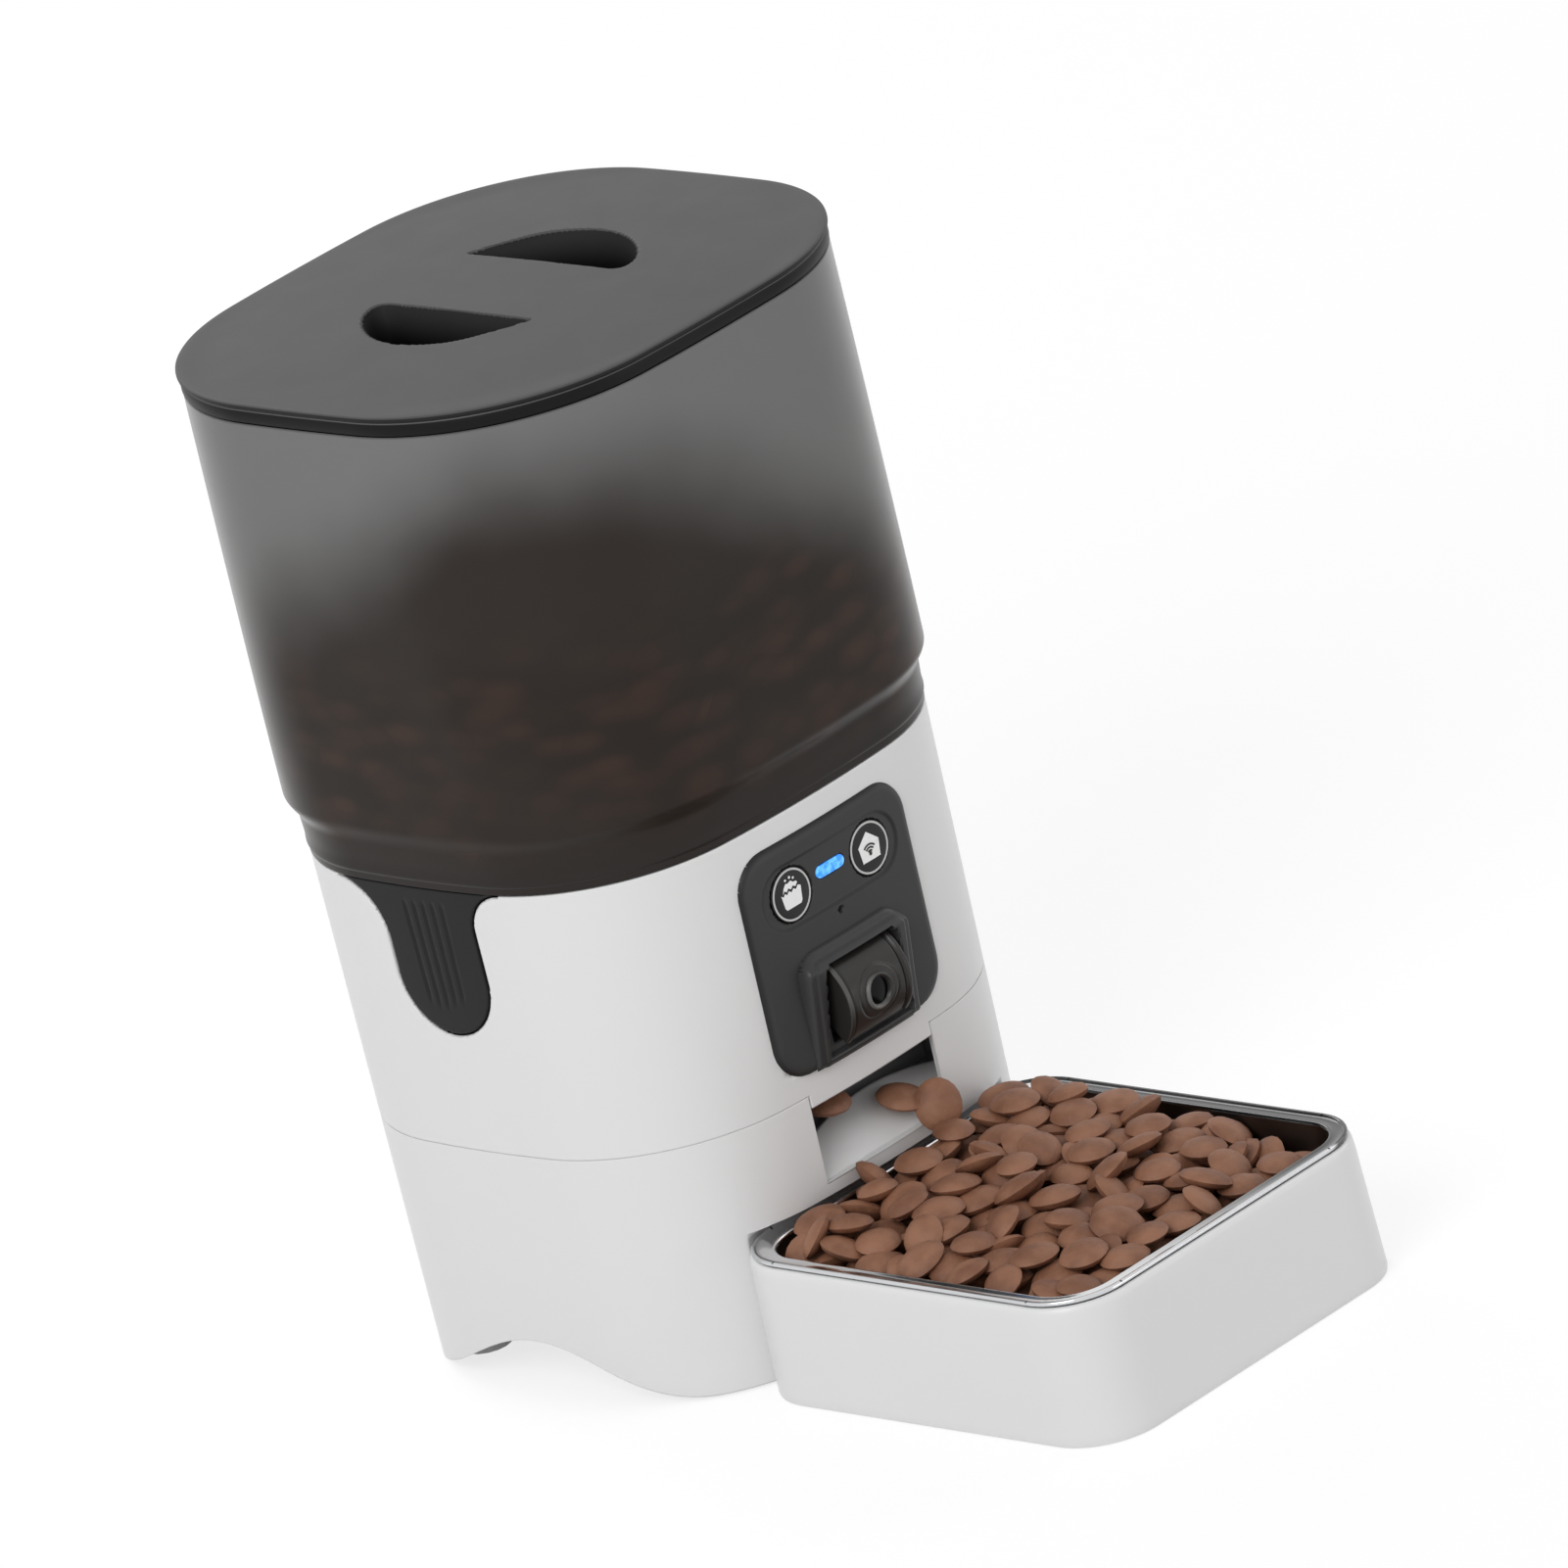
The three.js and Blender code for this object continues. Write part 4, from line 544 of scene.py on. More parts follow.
# painted shade: the food's core is a darker brown than the kibbles, for the shade in the gaps between them
kibbleShaded = surface("kibbleShaded", lambda m: {
    "Base Color": m.mix(m.cells(90, m.place), srgb(66, 43, 32), srgb(104, 70, 54)),
    "Roughness": 0.8 + m.noise(50) * 0.1})

# the smoky wall, with the view through it painted: a soft painted shade where the food stands behind it, kibble dimly
# painted below that, and the wall a touch paler towards its top
smoke = {"top": grey(121), "mid": srgb(119, 119, 118), "low": srgb(50, 44, 41), "collar": srgb(44, 40, 38)}
mound = {"peak": 0.316, "fallX": 0.55, "fallY": 0.52, "atX": -0.075, "atY": -0.07, "least": 0.228,
         "above": 0.018, "below": 0.036, "wave": 0.012}


def smokePaint(m):
    x, y, z = m.axis("X"), m.axis("Y"), m.axis("Z")
    wave = (m.noise(16, 2) - 0.5) * mound["wave"] * 2
    slope = (x - mound["atX"]) * mound["fallX"] + (y - (mound["atY"] + towerShift * unit)) * mound["fallY"]
    line = (mound["peak"] - slope).atLeast(mound["least"]) + wave
    # painted shade where the food stands behind the wall
    full = 1 - (z - line).step(-mound["below"], mound["above"])
    upper = m.mix(z.step(0.25, 0.325), smoke["mid"], smoke["top"])
    flattened = node(m.tree, "ShaderNodeMapping", {"Vector": m.place, "Scale": (1.0, 1.0, 2.1)}, "Vector")
    tone = node(m.tree, "ShaderNodeSeparateColor", {"Color": m.cells(64, flattened, output="Color")}, "Red")
    middle = 1 - m.cells(64, flattened, feature="SMOOTH_F1").step(0.15, 0.62)
    shown = m.noise(15, 2).step(0.34, 0.58) * (1 - z.step(0.232, 0.268))
    lumps = m.mix(middle * (0.45 + tone * 0.55), srgb(45, 39, 36), srgb(64, 49, 42))
    colour = m.mix(full, upper, m.mix(shown, smoke["low"], lumps))
    low = 1 - z.step(0.1755, 0.19)
    colour = m.mix(low, colour, smoke["collar"])
    turned = node(m.tree, "ShaderNodeLayerWeight", {"Blend": 0.5}, "Facing")
    return {
        "Base Color": colour,
        "Roughness": m.gloss(0.34, 30, 0.06),
        "Coat Weight": turned.step(0.45, 1.0) * (0.62 - low * 0.4),
        "Alpha": 0.9 + full * 0.04 + low * 0.06,
        "Normal": m.grain(0.01, 1800),
    }


smokyWall = surface("smokyWall", smokePaint, Specular_IOR_Level=0.12, Coat_Roughness=0.25)


def chutePaint(m):
    scuff = m.noise(80, 3)
    low = m.mix(scuff, grey(212), grey(222))
    # painted shade: the slide turns darker grey towards the back and higher up in the outlet
    high = (m.axis("Z") - 0.056 - m.axis("X") * 0.12).step(0.0, 0.016)
    return {"Base Color": m.mix(high, low, srgb(150, 151, 152)), "Roughness": 0.4 + scuff * 0.08}


chuteWhite = surface("chuteWhite", chutePaint)
print("materials made")

# Base shells

latch = {
    "halfWidth": 19, "bottom": 122.4, "flareFront": 13.5, "flareRear": 19.5, "gap": 0.35, "edge": 0.9,
    "reachFront": 33.3, "reachRear": 42.1, "sheet": 2.0, "step": 0.45,
    "ribs": 5, "ribPitch": 4.0, "ribWidth": 1.7, "ribDepth": 0.36, "ribTop": 168, "ribBottom": 129,
}


# the tongue seen from the side, its flares running out into the seam
def latchDistance(y, z):
    across = np.abs(y)
    foot = latch["bottom"] + latch["halfWidth"]
    stem = np.where(z < foot, np.hypot(across, z - foot) - latch["halfWidth"], across - latch["halfWidth"])
    flare = np.where(y > 0, latch["flareRear"], latch["flareFront"])
    ear = flare - np.hypot(across - latch["halfWidth"] - flare, z - base["top"] + flare)
    flared = (z > base["top"] - flare) & (across < latch["halfWidth"] + flare)
    return np.where(flared, np.maximum(ear, across - latch["halfWidth"] - flare), stem)


grille = {"z": 110, "count": 5, "pitch": 5, "halfWidth": 1, "halfLength": 9, "depth": 2.4}
deckHole = {"radius": 58.9, "y": 12}
behindPanel = {"halfWidth": 33, "z": 126, "halfHeight": 32}
socketHole = {"z": 70, "radius": 3.8}
arch = {"halfSpan": 62, "height": 17.5, "reach": 34}
niche = {"top": 50.1, "gap": 0.4, "dip": 1.7}
tray = {
    "topHalfWidth": 70, "bottomHalfWidth": 71, "rear": -70.4, "frontTop": -220.5, "frontBottom": -222,
    "radius": 22, "height": 45.6,
}


# the places round the base at which one coordinate takes the values asked for
def placesFor(axis, values, about):
    dense = np.linspace(about - 0.75, about + 0.75, 3001)
    along = baseRing(base["top"], dense)[:, axis]
    order = np.argsort(along)
    return np.interp(values, along[order], dense[order])


basePlaces = np.unique(np.round(np.concatenate([
    np.linspace(0, 4, 240, endpoint=False),
    placesFor(1, np.arange(-34, 43, 0.6), 0) % 4,
    placesFor(1, np.arange(-34, 43, 0.6), 2),
    placesFor(0, np.concatenate([np.arange(-30, 30.1, 1.5), [-28.6, -28, -27.7, -27.4, 27.4, 27.7, 28, 28.6]]), 3),
    placesFor(0, np.arange(-13, 13.1, 0.5), 1),
    placesFor(0, np.arange(40, 71, 0.8), 3), placesFor(0, np.arange(-70, -39, 0.8), 3),
]), 5))


# the base's wall as a grid of points, and the way out of it at each place
def shellSheet(heights):
    grid = np.stack([lift(baseRing(z, basePlaces), z) for z in heights])
    return grid, baseRing(100, basePlaces, 1) - baseRing(100, basePlaces)


def sinkWall(grid, outward, sink):
    grid[..., 0] -= outward[:, 0] * sink
    grid[..., 1] -= outward[:, 1] * sink


def makeUpperShell():
    bottom, top = base["split"] + base["seamGap"], base["top"]
    heights = levels((outlet["top"], bottom, 0.35), (bottom, bottom + 1, 0.15), (bottom + 1, 98, 2),
                     (98, 170.4, 0.6), (170.4, top, 0.15))
    grid, outward = shellSheet(heights)
    notch = lambda y, z: latchDistance(y, z) - latch["gap"]
    snapColumns(grid, np.abs(grid[..., 0]).min(0) > 60, (1, 2), notch, 0.36)
    x, y, z = np.moveaxis(grid, -1, 0).copy()
    edge = np.where((y < 0) & (np.abs(x) < outlet["halfWidth"]), far, z - bottom)
    sink = np.maximum(rounding(top - z, 0.5), rounding(edge, 0.2))
    side = np.abs(x) > 60
    near = notch(y, z)
    sink = np.where(side, np.maximum(sink, rounding(np.maximum(near, 0), 0.6)), sink)
    slots = np.full(x.shape, far)
    half, low, high = grille["halfWidth"], grille["z"] - grille["halfLength"], grille["z"] + grille["halfLength"]
    for i in range(grille["count"]):
        u = (i - (grille["count"] - 1) / 2) * grille["pitch"]
        slots = np.minimum(slots, boxDistance(x, z, u - half, u + half, low, high, half))
    sink = np.where(y > 60, np.maximum(sink, grille["depth"] * easing(-slots, -0.1, 0.35)), sink)
    sinkWall(grid, outward, sink)
    # the deck under the hopper, from the rim in to the drum's hole
    rim = baseRing(top, basePlaces, -0.5)
    angle = np.arctan2(rim[:, 1] - deckHole["y"], rim[:, 0])
    hole = np.stack([np.cos(angle), np.sin(angle)], -1) * deckHole["radius"] + [0, deckHole["y"]]
    whole = np.concatenate([grid, np.stack([lift(rim * (1 - s) + hole * s, top) for s in (0.5, 1)])])
    x, y, z = np.moveaxis(whole, -1, 0)
    keep = (z > bottom - 0.05) | (y < 0) & (np.abs(x) < outlet["halfWidth"] + 0.05)
    keep &= ~((y < 0) & (np.abs(x) < behindPanel["halfWidth"])
              & (np.abs(z - behindPanel["z"]) < behindPanel["halfHeight"]))
    keep[:len(grid)] &= ~(side & (near < -0.03))
    outline = np.zeros(keep.shape, bool)
    outline[:len(grid)] = side & (near < 0.04)
    quads = keepFaces(sheetFaces(len(whole), len(basePlaces), closed=True), keep)
    quads = quads[~outline.ravel()[quads].all(1)]
    return makePiece("upperShell", whole, [quads], white, "base", "white_plastic", ["upper_shell"],
                     thickness=base["sheet"])


def trayHalf(share):
    return tray["bottomHalfWidth"] + (tray["topHalfWidth"] - tray["bottomHalfWidth"]) * share


# the tray's outline at a share of its height, moved out by an offset
def trayRing(share, offset):
    half = trayHalf(share) + offset
    front = tray["frontBottom"] + (tray["frontTop"] - tray["frontBottom"]) * share - offset
    return boxRingFine(-half, half, front, tray["rear"] + offset, tray["radius"] + offset, 12, 14)


def makeLowerShell():
    bottom, top = base["floorGap"], base["split"] - base["seamGap"]
    heights = levels((bottom, 3, 0.5), (3, 30, 2), (30, niche["top"] - 0.05, 2),
                     (niche["top"] - 0.05, niche["top"], 0.05), (niche["top"], 53.5, 0.8), (53.5, 55.3, 0.2),
                     (55.3, 65, 1.6), (65, 75, 0.5), (75, top - 0.8, 1.6), (top - 0.8, top, 0.15))
    grid, outward = shellSheet(heights)
    x, y, z = np.moveaxis(grid, -1, 0).copy()
    front = y < -40
    mouth = np.maximum(np.abs(x) - outlet["halfWidth"] - 0.3, outlet["bottom"] - z)
    sink = rounding(top - z, 0.2)
    sinkWall(grid, outward, np.where(front, np.maximum(sink, rounding(mouth, 0.6)), sink))
    # the tray's niche in the front
    half = trayHalf(z / tray["height"]) + niche["gap"]
    radius = tray["radius"] + niche["gap"]
    past = np.clip(np.abs(x) - (half - radius), 0, radius)
    rear = tray["rear"] + niche["gap"] - radius + np.sqrt(radius ** 2 - past ** 2)
    roof = niche["top"] - 0.01 - niche["dip"] * easing(np.abs(x), 50, 62)
    inside = front & (np.abs(x) < half) & (z < roof)
    grid[..., 1] = np.where(inside, np.maximum(grid[..., 1], rear), grid[..., 1])
    # the arches under both sides
    rise = np.where((np.abs(y) < arch["halfSpan"]) & (np.abs(x) > 40),
                    arch["height"] * (1 + np.cos(np.pi * y / arch["halfSpan"])) / 2, 0)
    share = np.clip((arch["reach"] - z) / (arch["reach"] - bottom), 0, 1)
    grid[..., 2] = np.where(z < arch["reach"], arch["reach"] - (arch["reach"] - bottom - rise) * share, z)
    socket = snapColumns(grid, (basePlaces > 0.8) & (basePlaces < 1.2), (0, 2),
                         lambda u, v: np.hypot(u, v - socketHole["z"]) - socketHole["radius"], 0.32)
    quads = sheetFaces(len(grid), len(basePlaces), closed=True)
    cut = (front & (mouth < 0.01)).ravel()[quads].all(1) | (socket.ravel()[quads] < 0.01).all(1)
    return makePiece("lowerShell", grid, [quads[~cut]], white, "base", "white_plastic",
                     ["lower_shell", "tray_dock"], thickness=base["sheet"])


# the tongue of the lower shell that stands behind the seam, open over the outlet
def makeSeamTongue():
    places = basePlaces[(np.abs(basePlaces - 3) > 0.3) | (np.abs(baseRing(83, basePlaces)[:, 0]) > 28.5)]
    start = np.argmax(places > 3)
    places = np.concatenate([places[start:], places[:start] + 4])
    rings = np.stack([lift(baseRing(z, places, -0.35), z) for z in (81.6, 83.1, 84.6)])
    makePiece("seamTongue", rings, [sheetFaces(3, len(places))], white, "base", "white_plastic", thickness=0.8)


makeUpperShell()
makeLowerShell()
makeSeamTongue()
print("shells made")


# a dense table of the base's side, to place things on it
def faceX(y, z, offset=0.0):
    dense = np.linspace(-0.6, 0.6, 601)
    result = np.empty(np.broadcast(y, z).shape)
    for i, level in enumerate(z[:, 0]):
        ring = baseRing(level, dense, offset)
        result[i] = np.interp(y[i], ring[:, 1], ring[:, 0])
    return result


def frontY(x, z, offset=0.0):
    inset = base["draft"] * (base["top"] - z) - offset
    radius = base["sideRadius"] - inset
    return -(base["halfDepth"] - inset) + radius - np.sqrt(radius ** 2 - x ** 2)


def makeLatch(side):
    y, z = np.meshgrid(np.arange(-latch["reachFront"], latch["reachRear"], latch["step"]),
                       np.arange(latch["bottom"] - 0.9, base["top"] + 0.3, latch["step"]))
    points = np.stack([y * 0, y, z], -1)
    distance = snap(points, (1, 2), latchDistance, 0.26)
    y, z = points[..., 1], points[..., 2]
    ribs = np.zeros(y.shape)
    for i in range(latch["ribs"]):
        centre = (i - (latch["ribs"] - 1) / 2) * latch["ribPitch"] * (1 - 0.12 * (latch["ribTop"] - z) / 40)
        groove = easing(latch["ribWidth"] / 2 - np.abs(y - centre), -0.2, 0.55)
        bottom = latch["ribBottom"] + abs(i - 2.5) * 1.4
        ends = easing(z, bottom, bottom + 5) * (1 - easing(z, latch["ribTop"] - 3, latch["ribTop"]))
        ribs = np.maximum(ribs, groove * ends)
    sink = 0.1 + rounding(-distance, latch["edge"]) + ribs * latch["ribDepth"]
    points[..., 0] = side * (faceX(y, z) - sink)
    quads = keepFaces(sheetFaces(*y.shape, flip=side < 0), distance < 0.01)
    quads = quads[~(distance.ravel()[quads] > -0.04).all(1)]
    name, body = ("latchRight", "latch_right") if side > 0 else ("latchLeft", "latch_left")
    return makePiece(name, points, [quads], latchDark, body, "latch_plastic", [body], thickness=latch["sheet"])


makeLatch(-1)
makeLatch(1)
print("latches made")

# Hopper

hopper = {
    "bottom": 171.8, "collarTop": 185, "shoulder": 191.5, "top": 324, "collarGrow": 0.9, "growX": 2.3,
    "growY": 4.0, "wall": 2.2, "straight": 190.5, "collarReach": 14.5,
}
lid = {
    "halfWidth": 93.8, "halfDepth": 89.3, "sideRadius": 785, "cornerRadius": 66, "inset": 0.6,
    "bandBottom": 324.3, "bandTop": 328.8, "bottom": 329.1, "top": 330.9, "crown": 1.8, "sheet": 1.4,
}


def hopperRing(z, places, offset=0.0):
    collar = np.clip((z - base["top"]) / hopper["collarReach"], 0, 1) * hopper["collarGrow"]
    share = (z - hopper["straight"]) / (hopper["top"] - hopper["straight"])
    bend = easing(z, hopper["collarTop"], hopper["shoulder"])

    def mix(low, high, narrow):
        wide = low + (high - low) * share
        return narrow * (1 - bend) + wide * bend + offset

    return bowed(
        mix(base["halfWidth"] + hopper["growX"], lid["halfWidth"] - lid["inset"], base["halfWidth"] + collar),
        mix(base["halfDepth"] + hopper["growY"], lid["halfDepth"] - lid["inset"], base["halfDepth"] + collar),
        mix(base["sideRadius"], lid["sideRadius"], base["sideRadius"] + collar),
        mix(base["cornerRadius"], lid["cornerRadius"], base["cornerRadius"] + collar), places)


ringPlaces = np.linspace(0, 4, 288, endpoint=False)


def makeTank():
    heights = levels((hopper["bottom"], 175.6, 0.2), (175.6, 184, 1.4), (184, 193, 0.6), (193, 322, 5),
                     (322, hopper["top"], 0.5))
    rings = []
    for z in heights:
        lip = 0.33 * easing(z, 174.1, 175.0) * (1 - easing(z, 175.2, 178.0))
        sink = float(rounding(z - hopper["bottom"], 0.4) + rounding(hopper["top"] - z, 0.5) - lip)
        rings.append(lift(hopperRing(z, ringPlaces, -sink), z))
    return loftPiece("tankWall", rings, smokyWall, "hopper", "smoky_plastic", replaced=["hopper"],
                     thickness=hopper["wall"])


makeTank()


# the food behind the wall: a slope that stands highest at the front left corner
pile = {"x": -75, "y": -70, "peak": 290, "least": 224, "most": 284, "core": 6, "wallTries": 620, "topCount": 420}


def heapTop(x, y):
    slope = (x - pile["x"]) * mound["fallX"] + (y - pile["y"]) * mound["fallY"]
    return np.clip(pile["peak"] - slope, pile["least"], pile["most"])


kibble = {"radius": 8.3, "half": 3.2}


# a lens of unit radius and half height: rings round it between its two tips
def kibbleShape(count, rows):
    turns = np.linspace(0, np.pi / 2, rows + 1)[1:]
    upper = [circleRing(np.sin(t), count) for t in turns]
    heights = np.cos(turns) ** 1.15
    heights[-1] = 0
    half = [lift(ring, h) for ring, h in zip(upper, heights)]
    below = [ring * [1, 1, -1] for ring in half[-2::-1]]
    points = np.vstack([[0, 0, 1], *half, *below, [0, 0, -1]])
    rings = 2 * rows - 1
    quads = 1 + sheetFaces(rings, count, closed=True)[:, [0, 3, 2, 1]]
    tips = [fanFaces(1, count, 0)[:, [2, 0, 1]],
            fanFaces(1 + (rings - 1) * count, count, len(points) - 1)[:, [2, 1, 0]]]
    return points, quads, np.vstack(tips)


def turnFor(normal, spin):
    normal = normal / np.linalg.norm(normal, axis=1, keepdims=True)
    helper = np.where(np.abs(normal[:, 2:]) < 0.9, [[0.0, 0.0, 1.0]], [[1.0, 0.0, 0.0]])
    first = np.cross(helper, normal)
    first /= np.linalg.norm(first, axis=1, keepdims=True)
    second = np.cross(normal, first)
    c, s = np.cos(spin)[:, None], np.sin(spin)[:, None]
    return np.stack([first * c + second * s, second * c - first * s, normal], 1)


def kibblePiece(name, centres, normals, sizes, body, count, rows, fit=None):
    shape, quads, tris = kibbleShape(count, rows)
    turns = turnFor(normals, rng.uniform(0, 6.28, len(centres)))
    radii = np.stack([kibble["radius"] * sizes, kibble["radius"] * sizes * rng.uniform(0.86, 1.0, len(sizes)),
                      kibble["half"] * sizes * rng.uniform(0.9, 1.1, len(sizes))], -1)
    points = np.einsum("pk,nk,nkc->npc", shape, radii, turns) + centres[:, None, :]
    if fit:
        points = fit(points)
    step = (np.arange(len(centres)) * len(shape))[:, None, None]
    groups = [(quads + step).reshape(-1, 4), (tris + step).reshape(-1, 3)]
    return makePiece(name, points, groups, kibbleBrown, body, "dark_plastic", sharp=50)


# a core of food with kibbles on it, along the wall and over the top
def makeFill():
    topAt = lambda ring, under: heapTop(ring[:, 0], ring[:, 1]) - under
    rows = []
    for z in np.arange(196, 300, 8.0):
        ring = hopperRing(z, ringPlaces, -12)
        rows.append(lift(ring, np.minimum(z, topAt(ring, pile["core"]))))
    for s in np.linspace(0.06, 0.97, 14):
        rows.append(lift(ring * (1 - s), topAt(ring * (1 - s), pile["core"])))
    loftPiece("hopperFoodCore", rows, kibbleShaded, "hopper", "dark_plastic", fanFirst=True, fanLast=True)
    turns = rng.uniform(0, 4, pile["wallTries"])
    heights = rng.uniform(197, 290, pile["wallTries"])
    wall = np.array([hopperRing(z, [t], -13)[0] for z, t in zip(heights, turns)])
    low = heights < topAt(wall, 4)
    wall, heights = wall[low], heights[low]
    outward = lift(wall / np.linalg.norm(wall, axis=1, keepdims=True), 0)
    share = np.sqrt(rng.uniform(0, 0.95, pile["topCount"]))
    spread = hopperRing(250, rng.uniform(0, 4, pile["topCount"]), -15) * share[:, None]
    centres = np.vstack([lift(wall, heights), lift(spread, topAt(spread, 2))])
    normals = np.vstack([outward, np.broadcast_to([mound["fallX"], mound["fallY"], 1.0], (len(spread), 3))])
    normals = normals + rng.normal(0, 0.28, normals.shape)
    kibblePiece("hopperFood", centres, normals, rng.uniform(0.86, 1.0, len(centres)), "hopper", 10, 2)


makeFill()
print("hopper made")

# Lid

# each finger well is straight along its grip and bulges away from it
well = {"grip": 19.6, "reach": 25.4, "halfLength": 32.5, "depth": 15, "lip": 0.5}
wellShares = np.array([
    [0, 1], [0.39, 0.81], [0.81, 0.51], [1, 0.06], [0.94, -0.36], [0.7, -0.7], [0.43, -0.91],
    [0.21, -0.99], [0.05, -0.97], [0, -0.88],
])


def wellOutline():
    corners = np.column_stack([well["grip"] + wellShares[:, 0] * well["reach"], wellShares[:, 1] * well["halfLength"]])
    padded = np.vstack([2 * corners[0] - corners[1], corners, 2 * corners[-1] - corners[-2]])
    return np.vstack([spline(padded, 6), corners[-1]])


def lidRing(offset, places):
    return bowed(lid["halfWidth"] + offset, lid["halfDepth"] + offset,
                 lid["sideRadius"] + offset, lid["cornerRadius"] + offset, places)


def crownHeight(x, y):
    share = (x / lid["halfWidth"]) ** 2 + (y / lid["halfDepth"]) ** 2
    return lid["top"] + lid["crown"] * (1 - np.minimum(share, 1) ** 1.1)


def makeLid():
    outline = wellOutline()
    places = np.linspace(0, 4, 560, endpoint=False)
    edge = lidRing(0, places)
    shares = np.concatenate([np.linspace(0.02, 0.17, 8), np.arange(0.18, 0.56, 0.0062), np.linspace(0.57, 0.97, 14)])
    inner = np.stack([lift(edge * s, lid["top"]) for s in shares[::-1]])
    wells = lambda u, v: np.minimum(polygonDistance(u, v, outline), polygonDistance(-u, -v, outline))
    distance = snap(inner, (0, 1), wells, 0.3)
    inner[..., 2] = crownHeight(inner[..., 0], inner[..., 1]) - rounding(distance, well["lip"])
    bottom, top = lid["bottom"], lid["top"]
    rim = [lift(lidRing(offset, places), z) for z, offset in (
        (bottom, -1.0), (bottom, -0.4), (bottom + 0.25, -0.08), (bottom + 0.6, 0), (top - 0.8, 0),
        (top - 0.35, -0.1), (top - 0.1, -0.35), (top, -0.8))]
    whole = np.concatenate([np.stack(rim), inner])
    depth = np.concatenate([np.full((len(rim), len(places)), far), distance])
    quads = sheetFaces(len(whole), len(places), closed=True)
    quads = quads[~(depth.ravel()[quads] < 0.01).all(1)]
    points = np.vstack([whole.reshape(-1, 3), whole[-1].mean(0)])
    middle = fanFaces((len(whole) - 1) * len(places), len(places), len(points) - 1)
    makePiece("lidTop", points, [quads, middle], lidGrey, "lid", "lid_grey", replaced=["lid_cover"],
              thickness=lid["sheet"], sharp=28)
    around = np.vstack([outline, np.linspace(outline[-1], outline[0], 24)[1:-1]])
    for name, turn in (("lidWellFar", 1), ("lidWellNear", -1)):
        ring = around * turn
        middle = ring.mean(0)
        start = crownHeight(ring[:, 0], ring[:, 1]) - well["lip"]
        rings = [lift(ring, start), lift(ring, start - 0.6)]
        rings += [lift(middle + (ring - middle) * (1 - 0.05 * s), start - well["depth"] * s)
                  for s in np.linspace(0.15, 0.88, 6)]
        rings += [lift(middle + (ring - middle) * scale, start.mean() - well["depth"] * s)
                  for scale, s in ((0.94, 0.94), (0.91, 0.98), (0.86, 1.0), (0.5, 1.0))]
        loftPiece(name, rings[::-1], wellGrey, "lid", "lid_grey", fanFirst=True, sharp=40)


# the black band under the lid, with the plug that stands in the hopper
def makeBand():
    plug, low, high = -(hopper["wall"] + 2.4), lid["bandBottom"], lid["bandTop"]
    inside = [(309, plug - 2, 309), (309, plug - 1, 308.6), (309, plug, 309.4), (324, plug, low)]
    outside = [(-3, low), (-1.3, low), (-0.85, low + 0.2), (-0.6, low + 0.7), (-0.6, high - 0.7),
               (-0.85, high - 0.2), (-1.3, high)]
    rings = [lift(hopperRing(at, ringPlaces, offset), z) for at, offset, z in inside]
    rings += [lift(lidRing(offset, ringPlaces), z) for offset, z in outside]
    rings.append(lift(hopperRing(324, ringPlaces, plug - 2), high))
    return loftPiece("lidBand", rings, bandBlack, "lid", "black_plastic", loop=True, replaced=["lid_skirt"])


makeLid()
makeBand()
print("lid made")

# Front panel

panel = {
    "halfWidth": 37.4, "bottom": 89.6, "top": 163.8, "radius": 12.5, "proud": 1.9, "pillow": 3.4,
    "recess": 0.6, "recessHalf": 30, "recessRadius": 10, "windowTop": 16.6, "windowDepth": 7,
}
button = {"radius": 8.5, "half": 17.7, "height": 146.4, "gap": 0.4, "depth": 3.4}
pill = {"halfWidth": 6.2, "radius": 1.9, "height": 148, "gap": 0.3, "depth": 0.8}
mic = {"height": 133.8, "radius": 0.95, "depth": 2.5}
camera = {"y": -76.1, "z": 107.5, "radius": 16.5, "halfWidth": 14, "edge": 0.5, "gap": 0.7, "below": 12,
          "lowest": -46, "highest": 60}
lens = {"radius": 4.3, "sink": 0.75, "swell": 0.35}
hood = {
    "half": 23.4, "top": 127, "bottom": 90, "radius": 8, "lip": 120.8, "lipProud": 5.2, "footProud": 1.2,
    "mouthHalf": 16.4, "mouthFlare": 2.2, "mouthBottom": 92.2, "windowTop": 15, "windowDepth": 8, "open": 20,
}
sensor = {"x": 18.4, "z": 94.4, "radius": 0.9}


def panelDistance(x, z):
    return boxDistance(x, z, -panel["halfWidth"], panel["halfWidth"], panel["bottom"], panel["top"], panel["radius"])


def panelProud(x, z):
    edge = -panelDistance(x, z)
    rise = panel["proud"] - rounding(edge, panel["pillow"]) * (panel["proud"] + 0.2) / panel["pillow"]
    radius = panel["recessRadius"]
    recess = boxDistance(x, z, -panel["recessHalf"], panel["recessHalf"], button["height"] - radius,
                         button["height"] + radius, radius)
    return rise - panel["recess"] * easing(-recess, -0.5, 0.5)


# how far the camera's window is sunk, from 0 to 1, and what is left of the sheet round it
def cameraWindow(x, z, top):
    half, high = camera["halfWidth"] + camera["gap"], camera["z"] + top
    window = boxDistance(x, z, -half, half, camera["z"] - camera["below"], high, 0.4)
    wall = easing(-window, -0.2, 0.4) * (1 - easing(z, high - 1.4, high - 0.6))
    return wall, np.where(z > high - 1.4, window > -0.15, window > -0.65)


